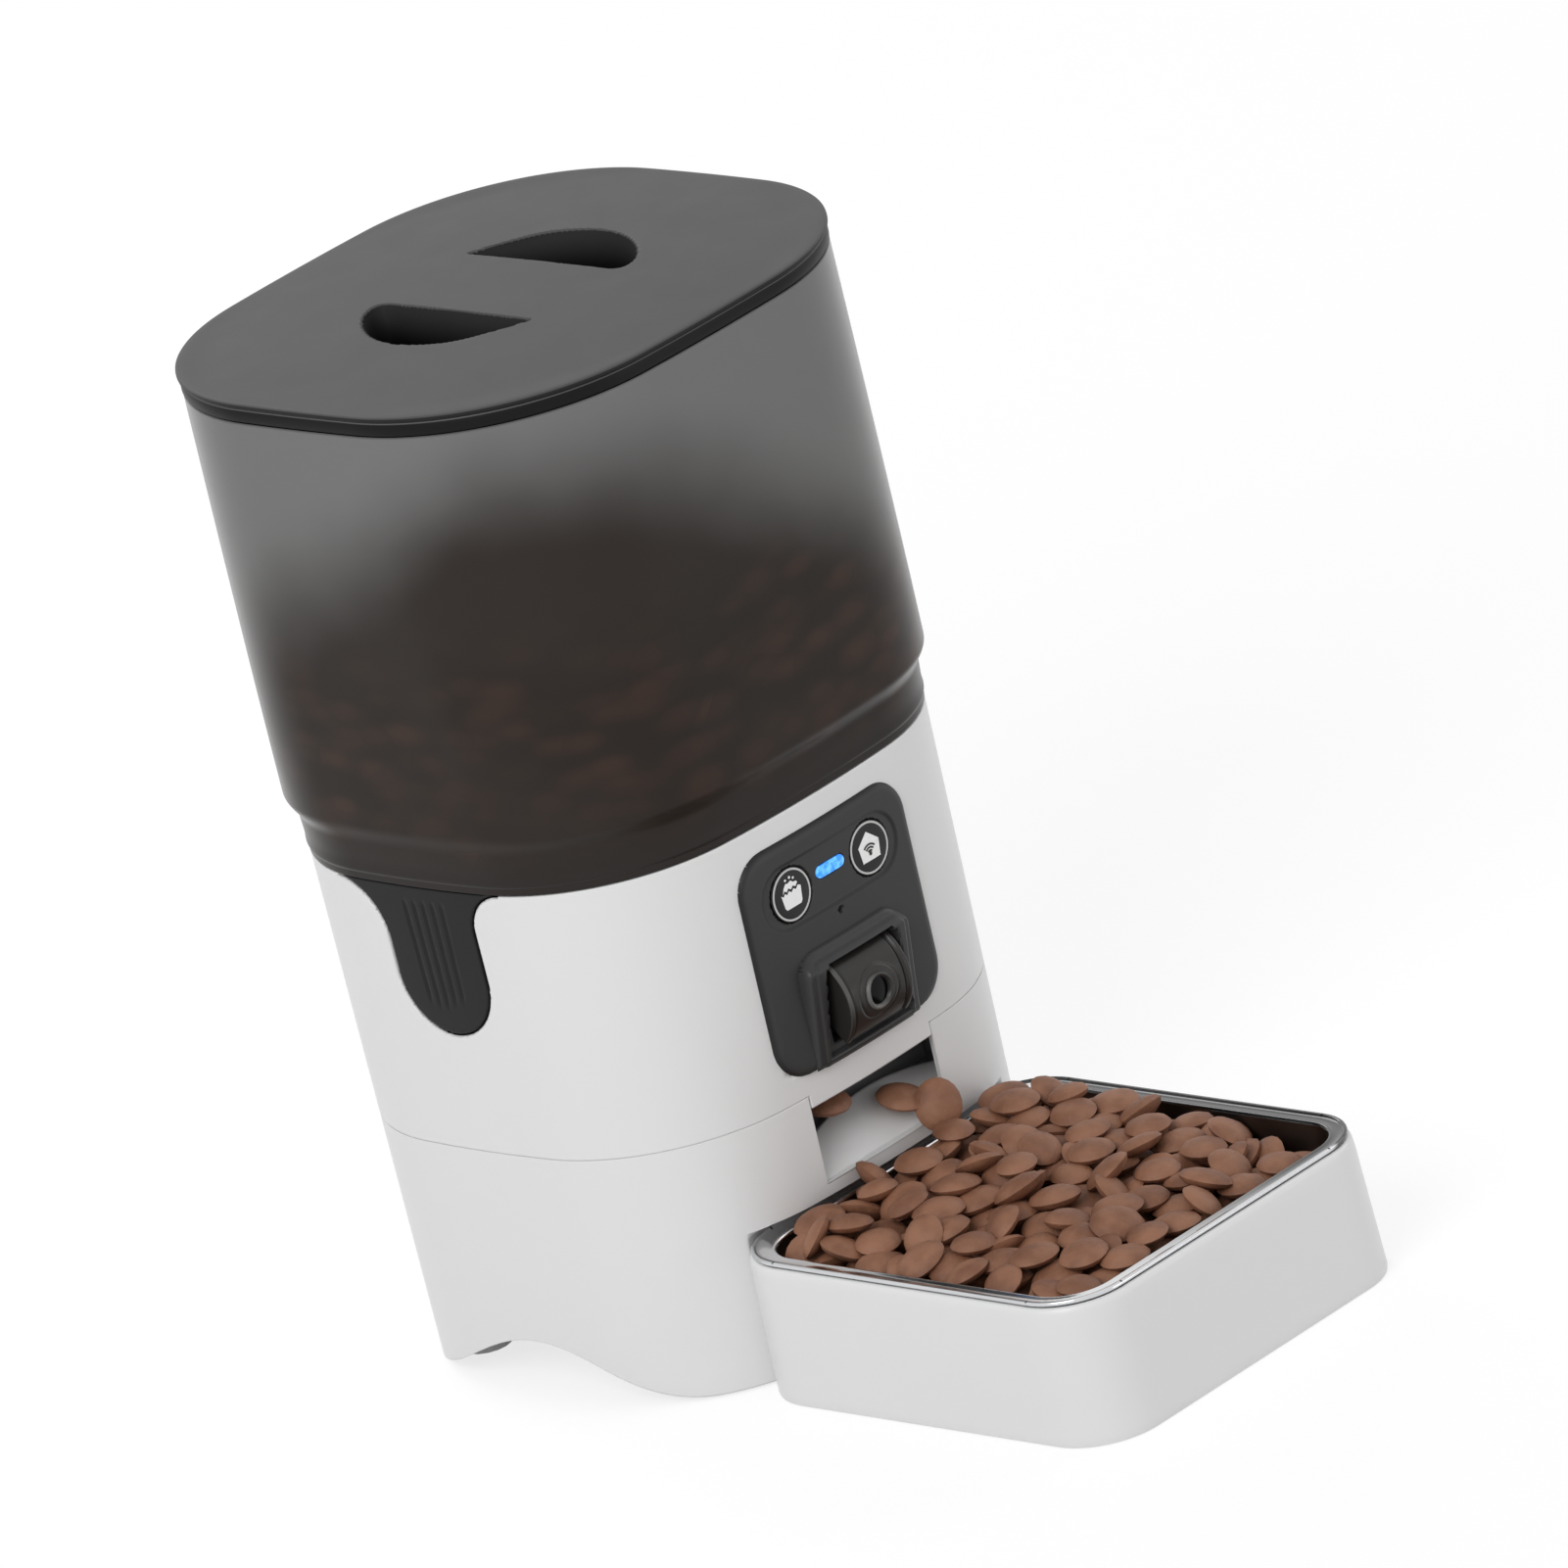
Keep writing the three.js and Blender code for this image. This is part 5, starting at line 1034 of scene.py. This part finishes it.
def makePanel():
    x, z = np.meshgrid(np.arange(-38, 38.1, 0.5), np.arange(89, 164.5, 0.5))
    points = np.stack([x, x * 0, z], -1)
    distance = snap(points, (0, 2), panelDistance, 0.3)
    x, z = points[..., 0], points[..., 2]
    proud = panelProud(x, z)
    for side in (-1, 1):
        hole = np.hypot(x - side * button["half"], z - button["height"]) - button["radius"] - button["gap"]
        proud = np.where(hole < 0, proud - button["depth"] * easing(-hole, 0, 0.3), proud)
    half, radius = pill["halfWidth"] + pill["gap"], pill["radius"] + pill["gap"]
    light = boxDistance(x, z, -half, half, pill["height"] - radius, pill["height"] + radius, radius)
    proud -= pill["depth"] * easing(-light, -0.1, 0.35)
    proud -= mic["depth"] * easing(mic["radius"] - np.hypot(x, z - mic["height"]), -0.25, 0.25)
    wall, kept = cameraWindow(x, z, panel["windowTop"])
    points[..., 1] = frontY(x, z) - proud + panel["windowDepth"] * wall
    quads = keepFaces(sheetFaces(*x.shape), (distance < 0.01) & kept)
    return makePiece("frontPanel", points, [quads], panelDark, "base", "panel_plastic", ["front_panel"], sharp=40)


def makeHood():
    x, z = np.meshgrid(np.arange(-23.6, 23.7, 0.36), np.arange(89.6, 127.6, 0.36))
    points = np.stack([x, x * 0, z], -1)

    def box(u, v, inset=0.0, topInset=0.0, radius=hood["radius"]):
        return boxDistance(u, v, inset - hood["half"], hood["half"] - inset, hood["bottom"] - hood["open"],
                           hood["top"] - topInset, radius)

    outer = snap(points, (0, 2), box, 0.2)
    x, z = points[..., 0], points[..., 2]
    slope = (z - hood["bottom"]) / (hood["lip"] - hood["bottom"])
    below = hood["footProud"] + (hood["lipProud"] - hood["footProud"]) * np.clip(slope, 0, 1)
    above = hood["lipProud"] - 3.0 * easing(z, hood["lip"] + 0.4, hood["top"] - 1.2)
    proud = np.where(z > hood["lip"], above, below)
    proud -= rounding(np.minimum(-outer, z - hood["bottom"]), 1.6) * (proud / 1.6)
    # a step in from the outer cheeks, as the frame's inner border
    proud += 0.7 * easing(-box(x, z, 3.4, 3.0, 3.2), -0.4, 0.5) - 0.35
    share = np.clip((hood["lip"] - z) / (hood["lip"] - hood["mouthBottom"]), 0, 1)
    half = hood["mouthHalf"] + hood["mouthFlare"] * share
    mouth = np.maximum(np.maximum(np.abs(x) - half, z - hood["lip"]), hood["mouthBottom"] - z)
    proud -= np.where(mouth < 0, (proud + 0.2) * easing(-mouth, 0.0, 1.3), 0)
    proud -= rounding(mouth, 0.7) * (mouth > 0)
    proud -= 0.9 * easing(sensor["radius"] - np.hypot(x - sensor["x"], z - sensor["z"]), -0.3, 0.3)
    wall, kept = cameraWindow(x, z, hood["windowTop"])
    points[..., 1] = frontY(x, z, panel["proud"]) - proud + hood["windowDepth"] * wall + 0.05
    quads = keepFaces(sheetFaces(*x.shape), (outer < 0.01) & kept)
    return makePiece("cameraHood", points, [quads], hoodDark, "base", "panel_plastic", ["camera_hood"], sharp=40)


# points on the drum, or proud of it, at places across it and round it
def onDrum(across, turn, radius):
    return np.stack([across, camera["y"] - radius * np.cos(turn), camera["z"] + radius * np.sin(turn)], -1)


def makeDrum():
    half, edge = camera["halfWidth"], camera["edge"]
    corner = edge * (1 - np.cos(np.linspace(0.25, 1, 5) * np.pi / 2))
    columns = np.concatenate([[-half], corner - half, np.arange(-half + edge + 0.4, half - edge - 0.3, 0.36),
                              half - corner[::-1], [half]])
    u, a = np.meshgrid(columns, np.radians(np.arange(camera["lowest"], camera["highest"] + 0.1, 0.9)))
    inward = half - np.abs(u)
    r = np.hypot(u, a * camera["radius"])
    flange = easing(-inward, -2.2, -1.7) * 0.55 - 0.45 * easing(-inward, -3.0, -2.3) * easing(inward, 1.7, 2.2)
    seat = -1.2 * easing(-r, -5.2, -4.4)
    groove = -0.25 * easing(-np.abs(r - 8.6), -0.5, 0)
    points = onDrum(u, a, camera["radius"] - rounding(inward, edge) + flange + seat + groove)
    # both ends close towards the hub
    rows, count = u.shape
    hub = [[side * half, camera["y"], camera["z"]] for side in (-1, 1)]
    first = np.arange(rows - 1) * count
    left, right = (np.full(rows - 1, u.size + i) for i in (0, 1))
    ends = [np.stack([first, left, first + count], -1),
            np.stack([right, first + 2 * count - 1, first + count - 1], -1)]
    return makePiece("cameraDrum", np.vstack([points.reshape(-1, 3), hub]), [sheetFaces(rows, count)] + ends,
                     drumBlack, "camera", "black_gloss", ["camera_drum", "lens_barrel"], sharp=40)


def makePupil():
    rows = []
    for s in np.linspace(1, 0.12, 9):
        depth = camera["y"] - camera["radius"] + lens["sink"] - lens["swell"] * (1 - s ** 2)
        rows.append(upright(circleRing(lens["radius"] * s, 40), depth, 0, camera["z"]))
    return loftPiece("lensDome", rows, lensGlass, "camera", "lens", fanLast=True, replaced=["lens_glass"])


# a raised ring round the lens, lying on the drum
def makeLensRing():
    rings = []
    for radius, rise in ((5.9, -0.4), (5.85, 0.35), (5.6, 0.8), (5.2, 1.0), (4.75, 0.85), (4.4, 0.3), (4.25, -0.9)):
        ring = circleRing(radius, 56)
        rings.append(onDrum(ring[:, 0], ring[:, 1] / camera["radius"], camera["radius"] + rise))
    loftPiece("lensRing", rings, lensRim, "camera", "black_plastic", sharp=50)


# a flat disc whose edge turns back, from its outline at a scale and a depth
def disc(name, ringOf, depth, look, body, slot, replaced):
    rows = [ringOf(1.0, depth + 0.6), ringOf(1.0, depth + 0.12)] + [ringOf(s, depth) for s in (0.97, 0.5, 0.1)]
    return loftPiece(name, rows, look, body, slot, fanLast=True, replaced=replaced)


def recessY(x, z):
    return float(frontY(x, z, panel["proud"] - panel["recess"]))


buttonY = recessY(button["half"], button["height"]) - 0.1
prints = {"proud": 0.06, "upper": 0.14, "thickness": 0.12}


# a flat print on a button, from a closed outline and drawn a touch proud
def printShape(name, outline, side, dark=False):
    outline = np.asarray(outline, float)
    area = np.sum(outline[:, 0] * np.roll(outline[:, 1], -1) - np.roll(outline[:, 0], -1) * outline[:, 1])
    if area < 0:
        outline = outline[::-1]
    proud = prints["upper"] if dark else prints["proud"]
    points = np.vstack([upright(outline, buttonY - depth, side * button["half"], button["height"])
                        for depth in (proud, proud - prints["thickness"])])
    walls = sheetFaces(2, len(outline), closed=True, flip=True)
    return makePiece(name, points, [np.arange(len(outline))[None], walls], drumBlack if dark else printWhite,
                     "call_button" if side > 0 else "feed_button", "panel_plastic" if dark else "white_plastic")


def arcBand(radius, width, start, stop, centre, count=10):
    angle = np.radians(np.linspace(start, stop, count))
    outer = np.stack([np.cos(angle), np.sin(angle)], -1)
    return np.vstack([outer * (radius + width / 2), (outer * (radius - width / 2))[::-1]]) + centre


def makeButtons():
    for side, name, body in ((-1, "feedButton", "feed_button"), (1, "callButton", "call_button")):
        ringAt = lambda radius, y, side=side: upright(circleRing(radius, 64), y, side * button["half"],
                                                      button["height"])
        disc(name, lambda scale, y: ringAt(button["radius"] * scale, y), buttonY, buttonBlack, body,
             "panel_plastic", [body])
        rings = [ringAt(r, buttonY + dy) for r, dy in ((8.25, 0.02), (8.15, -0.1), (7.6, -0.1), (7.55, 0.02))]
        loftPiece(name + "Ring", rings, ringGrey, body, "white_plastic")
    # a bowl of food on the left button
    zigzag = np.array([(-4.4, 1.2), (-3.5, 0.5), (-2.7, 1.3), (-1.8, 0.6), (-0.9, 1.5), (0.2, 0.7), (1.2, 1.6),
                       (2.2, 0.9), (3.3, 1.9), (4.4, 1.4)])
    printShape("feedBowlPrint", np.vstack([zigzag, [(3.8, -3.2), (3.1, -4.0), (-3.1, -4.0), (-3.8, -3.2)]]), -1)
    printShape("feedMoundPrint", np.vstack([zigzag[1:-1] + [0, 0.95], [
        (2.9, 3.4), (1.6, 3.6), (0.6, 4.4), (-0.7, 3.9), (-1.6, 4.2), (-2.8, 3.0)]]), -1)
    for i, (x, z, r) in enumerate(((-1.4, 5.2, 0.4), (0.5, 5.5, 0.45), (2.0, 4.8, 0.4))):
        printShape(f"feedCrumbPrint{i + 1}", circleRing(r, 14, (x, z)), -1)
    # a house with a sign of waves on the right one
    house = np.array([(0, 5.2), (0.4, 4.9), (4.3, 1.6), (4.5, 1.0), (3.9, -3.6), (3.5, -4.0), (-3.5, -4.0),
                      (-3.9, -3.6), (-4.5, 1.0), (-4.3, 1.6), (-0.4, 4.9)])
    printShape("callHousePrint", spline(np.vstack([house[-1:], house, house[:2]]), 3), 1)
    for i, radius in enumerate((1.1, 2.1, 3.1)):
        printShape(f"callWavePrint{i + 1}", arcBand(radius, 0.62, 42, 138, (0, -2.0)), 1, dark=True)
    printShape("callDotPrint", circleRing(0.65, 12, (0, -1.9)), 1, dark=True)


def makeStatusLight():
    half, radius = pill["halfWidth"], pill["radius"]

    def ring(s, y):
        return upright(boxRing(-half * s, half * s, -radius * s, radius * s, radius * s, 10), y, 0, pill["height"])

    disc("statusLight", ring, recessY(0, pill["height"]) - 0.15, lightBlue, "base", "blue_light", ["status_light"])


makePanel()
makeHood()
makeDrum()
makePupil()
makeLensRing()
makeButtons()
makeStatusLight()
print("panel made")

# Chute: the light slide that shows in the outlet, and the dark passage behind it

slide = {"slope": 0.939, "low": 54.3, "halfWidth": 28.4, "end": -64.7, "bow": 0.0098, "bowAt": 6, "dip": 0.45,
         "sheet": 1.4, "front": -79.1}
# the outline of the passage's side: the place across, y and z
passage = np.array([[28.6, -79.3, 80.5], [28.6, -79.3, 53.4], [43.5, -72, 57], [43.5, -58, 62], [43.5, -58, 84],
                    [43.5, -66, 84], [28.6, -79.0, 80.9]])


def makeSlide():
    x, share = np.meshgrid(np.linspace(-slide["halfWidth"], slide["halfWidth"], 56), np.linspace(0, 1, 34))
    lip = frontY(x, slide["low"]) - 0.03
    end = slide["end"] - slide["bow"] * (x - slide["bowAt"]) ** 2
    y = lip + share ** 1.3 * (end - lip)
    z = slide["low"] + slide["slope"] * (y - slide["front"]) - slide["dip"] * (1 - (x / slide["halfWidth"]) ** 2)
    z = np.maximum(z, slide["low"] + 0.05) - 0.5 * (share == 0)
    points = np.stack([x * (1 + 0.5 * easing(y - lip, 0.8, 7)), y, z], -1)
    makePiece("chuteSlide", points, [sheetFaces(*x.shape)], chuteWhite, "base", "white_plastic", ["chute"],
              thickness=slide["sheet"])
    count = len(passage)
    across = [[i, i + 1, count + i + 1, count + i] for i in range(1, count - 1)]
    sides = [list(range(count)), list(range(count, 2 * count))[::-1]]
    return makePiece("chutePassage", np.vstack([passage * [-1, 1, 1], passage]), [np.array(across), np.array(sides)],
                     passageGrey, "base", "dark_plastic", sharp=10)


makeSlide()

# Tray and bowl


def makeTray():
    top, sheet = tray["height"], 2.5
    rings = [lift(trayRing(share, offset), z) for share, offset, z in (
        (0, -6, 0), (0, -1.2, 0), (0, -0.3, 0.35), (0.03, 0, 1.4))]
    rings += [lift(trayRing(s, 0), s * top) for s in np.linspace(0.08, 0.9, 10)]
    rings += [lift(trayRing(1, offset), top - under) for offset, under in (
        (0, 3.2), (-0.06, 2.3), (-0.22, 1.5), (-0.5, 0.8), (-0.9, 0.3), (-1.4, 0.05), (-2.1, 0.15), (-2.4, 0.6),
        (-sheet, 1.4))]
    rings += [lift(trayRing(s, -sheet), s * top) for s in (0.8, 0.5, 0.2, 0.09)]
    rings += [lift(trayRing(0.06, offset), sheet) for offset in (-3.4, -8)]
    return loftPiece("trayShell", rings, white, "tray", "white_plastic", fanFirst=True, fanLast=True,
                     replaced=["tray"])


# lengths in from the tray's outline; the ledge is wider along the rear, in front of the shell
bowl = {"top": tray["height"] + 0.3, "rearLedge": 2.6, "lean": 8.2, "wallTop": 1.5, "wallHeight": 31,
        "outside": 6.6, "inside": 7.3, "foodGap": 0.5}
bowlRim = [(6.5, -1.0), (6.2, 0.05), (2.2, 0.05), (1.4, 0.1), (1.0, 0.5), (0.95, 0.95), (1.15, 1.4), (1.6, 1.62),
           (2.1, 1.5), (2.45, 1.1), (2.8, 0.85), (5.4, 0.8), (5.8, 0.95), (6.3, 1.05), (6.8, 0.75), (7.1, 0.1)]


def makeBowl():
    top = bowl["top"]

    def wall(inset, shares):
        return [(inset + bowl["lean"] * s, top - bowl["wallTop"] - bowl["wallHeight"] * s) for s in shares]

    def rings(profile):
        found = []
        for inset, z in profile:
            ring = trayRing(1, -inset)
            ring[:, 1] -= bowl["rearLedge"] * easing(inset, 2.8, 5.2) * easing(ring[:, 1], -112, -84)
            found.append(lift(ring, z))
        return found

    outside = [(20.3, 10.2), (17.2, 10.5)] + wall(bowl["outside"], np.linspace(1, 0.1, 8))
    outside += [(inset, top + rise) for inset, rise in bowlRim]
    inside = [(7.1, top + 0.1)] + wall(bowl["inside"], [0, *np.linspace(0.1, 0.9, 7)])
    inside += [(16.3, 11.9), (18, 11.3), (21, 11)]
    loftPiece("bowlSteel", rings(outside), bowlSteel, "bowl", "bowl_steel", fanFirst=True, replaced=["bowl"],
              sharp=50)
    loftPiece("bowlWell", rings(inside), wellSteelShaded, "bowl", "bowl_steel", fanLast=True, sharp=50)


makeTray()
makeBowl()
print("tray and bowl made")

# Food in the bowl: each kibble is dropped where the heap is lowest, and lies on what is below it

heap = {
    "cell": 1.0, "rim": 47.2, "most": 330, "tries": 26, "tried": 8, "enough": 3.4, "margin": 6.2,
    "halfWidth": 62.5, "front": -212.5, "rear": -78 - bowl["rearLedge"], "middle": -145.5, "core": 9,
    "crowns": ((7.5, 14, -116, 2300), (2.8, 44, -102, 420), (1.6, -50, -100, 500), (-6, 60, -203, 650)),
}


def heapTarget(x, y):
    crown = -3.5
    for high, atX, atY, spread in heap["crowns"]:
        crown = crown + high * np.exp(-((x - atX) ** 2 + (y - atY) ** 2) / spread)
    edge = np.minimum(np.minimum(heap["halfWidth"] - np.abs(x), heap["rear"] - y), y - heap["front"])
    return heap["rim"] + crown - 5.5 * (1 - easing(edge, 0, 10))


# points moved within the bowl's wall, each kibble as a whole
def insideBowl(points, whole=True):
    x, y, z = np.moveaxis(points, -1, 0)
    inset = bowl["inside"] + bowl["foodGap"]
    inset = inset + bowl["lean"] * np.clip((bowl["top"] - bowl["wallTop"] - z) / bowl["wallHeight"], 0, 1)
    half, rear = tray["topHalfWidth"] - inset, tray["rear"] - inset - bowl["rearLedge"]
    wall = lambda u, v: boxDistance(u, v, -half, half, tray["frontTop"] + inset, rear, tray["radius"] - inset)
    probe = 0.01
    for _ in range(3 if whole else 1):
        out = np.where(z < bowl["top"] + 0.6, np.maximum(wall(x, y), 0), 0)
        moveX, moveY = out * (wall(x + probe, y) - wall(x, y)), out * (wall(x, y + probe) - wall(x, y))
        if whole:
            worst = out.argmax(1)[:, None]
            moveX, moveY = np.take_along_axis(moveX, worst, 1), np.take_along_axis(moveY, worst, 1)
        x, y = x - moveX / probe, y - moveY / probe
    return np.stack([x, y, z], -1)


# the cells that a kibble covers from a cell on, and how high it comes to lie there
def dropKibble(ground, row, column):
    size = rng.uniform(0.88, 1.06)
    lean = 0.95 * rng.uniform(0, 1) ** 2
    turn = rng.uniform(0, 2 * np.pi)
    slope = np.array([np.cos(turn), np.sin(turn)]) * np.tan(lean)
    reach = int(np.ceil(kibble["radius"]))
    dx, dy = np.meshgrid(*[np.arange(-reach, reach + 1)] * 2)
    share = np.hypot(dx, dy) / (kibble["radius"] * size * np.cos(lean))
    covered = share < 1
    dx, dy, share = dx[covered], dy[covered], share[covered]
    rows, columns = row + dy, column + dx
    if rows.min() < 0 or columns.min() < 0 or rows.max() >= len(ground) or columns.max() >= ground.shape[1]:
        return None
    under = kibble["half"] * size * (1 - share ** 2)
    tilt = dx * slope[0] + dy * slope[1]
    touch = np.sort(ground[rows, columns] - tilt + under)
    return touch[int(len(touch) * 0.93)], size, slope, (rows, columns), tilt + under * 0.92


def fillBowl():
    xs, ys = np.arange(-64, 64.1, heap["cell"]), np.arange(-214, -76, heap["cell"])
    gridX, gridY = np.meshgrid(xs, ys)
    inside = boxDistance(gridX, gridY, -62.7, 62.7, -213.2, heap["rear"] + 0.3, 15)
    target = heapTarget(gridX, gridY)
    ground = np.where(inside < 0, target - 13, 90.0)
    rows, columns = np.where(inside < -heap["margin"])
    laid = []
    for _ in range(heap["most"]):
        need = (target - ground)[rows, columns]
        if need.max() < heap["enough"]:
            break
        chance = np.clip(need - 2.0, 0, None) ** 2
        picks = rng.choice(len(rows), heap["tries"], p=chance / chance.sum())
        best = None
        for r, c in zip(rows[picks[:heap["tried"]]], columns[picks[:heap["tried"]]]):
            drop = dropKibble(ground, r, c)
            if drop is None:
                continue
            score = drop[0] - target[r, c] + rng.uniform(0, 1.2)
            if best is None or score < best[0]:
                best = (score, r, c, *drop)
        if best is None:
            continue
        _, r, c, height, size, slope, cells, over = best
        if height > target[r, c] + 4.5:
            ground[r, c] += 0.5
            continue
        ground[cells] = np.maximum(ground[cells], height + over)
        laid.append([xs[c], ys[r], height, -slope[0], -slope[1], 1, size])
    print("kibbles in the bowl", len(laid))
    laid = np.array(laid)
    kibblePiece("bowlFood", laid[:, :3], laid[:, 3:6], laid[:, 6], "bowl", 18, 3, insideBowl)


# what is seen between the kibbles, painted dark as their shade
def makeCore():
    def ring(inset):
        half = heap["halfWidth"] - 0.1 - inset
        return boxRingFine(-half, half, heap["front"] - 0.4 + inset, heap["rear"] - inset, 14.6 - inset * 0.4)

    middle = np.array([0, heap["middle"]])
    flat = [ring(inset) for inset in (0, 1.5, 5, 9)]
    flat += [(flat[-1] - middle) * s + middle for s in (0.75, 0.5, 0.25, 0.08)]
    rows = [lift(r, heapTarget(r[:, 0], r[:, 1]) - heap["core"]) for r in flat]
    loftPiece("bowlFoodCore", insideBowl(np.array(rows), whole=False), kibbleShaded, "bowl", "dark_plastic",
              fanLast=True)


fillBowl()
makeCore()
loose = np.array([[-10.4, -68.3, 71.9], [14.0, -75.6, 63.4], [18.6, -85.9, 60.0]])
leans = np.array([[0.08, -0.2, 0.97], [0.1, -0.36, 0.93], [-0.6, -0.7, 0.38]])
kibblePiece("chuteFood", loose, leans, np.array([1.0, 1.0, 1.02]), "base", 20, 4)
print("food made")

# Looks of the solids that stay as they are

looks = {
    "lid_seal": siliconeBlack, "desiccant_cup": blackPlastic, "desiccant_cap": blackPlastic,
    "hopper_floor": darkPlastic, "portion_cover": darkPlastic, "rotor": darkPlastic, "agitator": siliconeBlack,
    "bottom_plate": white, "inner_deck": white, "food_sensor_left": blackPlastic,
    "food_sensor_right": blackPlastic, "speaker": blackPlastic, "power_socket": blackPlastic,
    "gearbox_case": darkPlastic, "gearbox_cover": darkPlastic, "motor": steel, "motor_pinion": brass,
    "drive_gear": white, "battery_cover": white, "contact_front": steel, "contact_back": steel,
    "microphone": blackPlastic, "light_sensor": lensGlass, "main_board": circuitGreen,
    "camera_bracket": blackPlastic,
}
for i in range(1, 5):
    looks[f"foot_{i}"] = footRubber
    looks[f"bottom_screw_{i}"] = steel
for i in range(1, 4):
    looks[f"battery_cell_{i}"] = cellJacket

bevelled = ("hopper_floor", "rotor", "agitator", "portion_cover", "battery_cover", "desiccant_cap", "power_socket",
            "foot_1", "foot_2", "foot_3", "foot_4")
for name, look in looks.items():
    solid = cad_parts[name]
    solid.data.materials.clear()
    solid.data.materials.append(look)
    if name in bevelled:
        bevel = solid.modifiers.new("edges", "BEVEL")
        bevel.width = 0.25 * unit
        bevel.segments = 2
        bevel.limit_method = "ANGLE"
        bevel.angle_limit = np.radians(40)

# Stage, light and camera

stage = {"reach": 4.0, "glow": 0.74, "shade": 0.3}


def lightShare(tree):
    seen = [node(tree, "ShaderNodeLightPath", {}, kind) for kind in
            ("Is Camera Ray", "Is Glossy Ray", "Is Transmission Ray")]
    return seen[0].atLeast(seen[1].atLeast(seen[2]))


def makeFloor():
    reach = stage["reach"]
    mesh = bpy.data.meshes.new("studioFloor")
    corners = [(-reach, -reach, 0), (reach, -reach, 0), (reach, reach, 0), (-reach, reach, 0)]
    mesh.from_pydata(corners, [], [(0, 1, 2, 3)])
    floor = bpy.data.objects.new("studioFloor", mesh)
    bpy.context.collection.objects.link(floor)
    made = bpy.data.materials.new("floorWhite")
    made.use_nodes = True
    tree = made.node_tree
    tree.nodes.clear()
    seen = lightShare(tree)
    plain = node(tree, "ShaderNodeBsdfDiffuse", {"Color": (0.8, 0.8, 0.8, 1)}, "BSDF")
    shade = node(tree, "ShaderNodeBsdfDiffuse", {"Color": (stage["shade"],) * 3 + (1,)}, "BSDF")
    glow = node(tree, "ShaderNodeEmission", {"Color": (1, 1, 1, 1), "Strength": stage["glow"]}, "Emission")
    added = node(tree, "ShaderNodeAddShader", {0: shade, 1: glow}, 0)
    mixed = node(tree, "ShaderNodeMixShader", {0: seen, 1: plain, 2: added}, 0)
    output = tree.nodes.new("ShaderNodeOutputMaterial")
    plug(tree, mixed, output.inputs["Surface"])
    floor.data.materials.append(made)


def makeWorld(level):
    world = bpy.data.worlds.new("studio")
    bpy.context.scene.world = world
    world.use_nodes = True
    tree = world.node_tree
    tree.nodes.clear()
    plain = node(tree, "ShaderNodeBackground", {"Color": (1, 1, 1, 1), "Strength": level}, 0)
    bright = node(tree, "ShaderNodeBackground", {"Color": (1, 1, 1, 1), "Strength": 1.0}, 0)
    mixed = node(tree, "ShaderNodeMixShader", {0: lightShare(tree), 1: plain, 2: bright}, 0)
    output = tree.nodes.new("ShaderNodeOutputWorld")
    plug(tree, mixed, output.inputs["Surface"])


def makeLamp(name, at, target, size, power):
    data = bpy.data.lights.new(name, "AREA")
    data.shape = "DISK"
    data.size = size
    data.energy = power
    lamp = bpy.data.objects.new(name, data)
    bpy.context.collection.objects.link(lamp)
    lamp.location = at
    lamp.rotation_euler = (Vector(target) - Vector(at)).to_track_quat("-Z", "Y").to_euler()
    return lamp


makeFloor()
makeWorld(0.52)
middle = (0, 0.03, 0.17)
makeLamp("keyLamp", (-2.15, -0.8, 1.8), middle, 1.6, 36)
makeLamp("fillLamp", (2.5, -1.0, 1.1), middle, 1.8, 10)
makeLamp("lowLamp", (0.6, -1.3, 0.14), middle, 0.5, 1.5)
makeLamp("backLamp", (0.6, 2.2, 1.8), middle, 1.4, 14)

shot = {
    "azimuth": -42.259, "elevation": 20.358, "roll": -13.514,
    "place": (-3.770993, -4.222483 + towerShift * unit, 2.254973), "lens": 452.72, "sensor": 36.0,
}


def makeCamera():
    a, e, roll = (np.radians(shot[key]) for key in ("azimuth", "elevation", "roll"))
    back = np.array([np.sin(a) * np.cos(e), -np.cos(a) * np.cos(e), np.sin(e)])
    right = np.array([np.cos(a), np.sin(a), 0.0])
    up = np.cross(back, right)
    cameraX = np.cos(roll) * right + np.sin(roll) * up
    cameraY = np.cos(roll) * up - np.sin(roll) * right
    data = bpy.data.cameras.new("photoCamera")
    data.lens = shot["lens"]
    data.sensor_width = shot["sensor"]
    data.sensor_fit = "HORIZONTAL"
    data.clip_end = 60
    eye = bpy.data.objects.new("photoCamera", data)
    bpy.context.collection.objects.link(eye)
    turn = np.eye(4)
    turn[:3, 0], turn[:3, 1], turn[:3, 2], turn[:3, 3] = cameraX, cameraY, back, shot["place"]
    eye.matrix_world = Matrix(turn.tolist())
    bpy.context.scene.camera = eye


makeCamera()
bpy.context.scene.view_settings.view_transform = "Standard"
print("stage made")
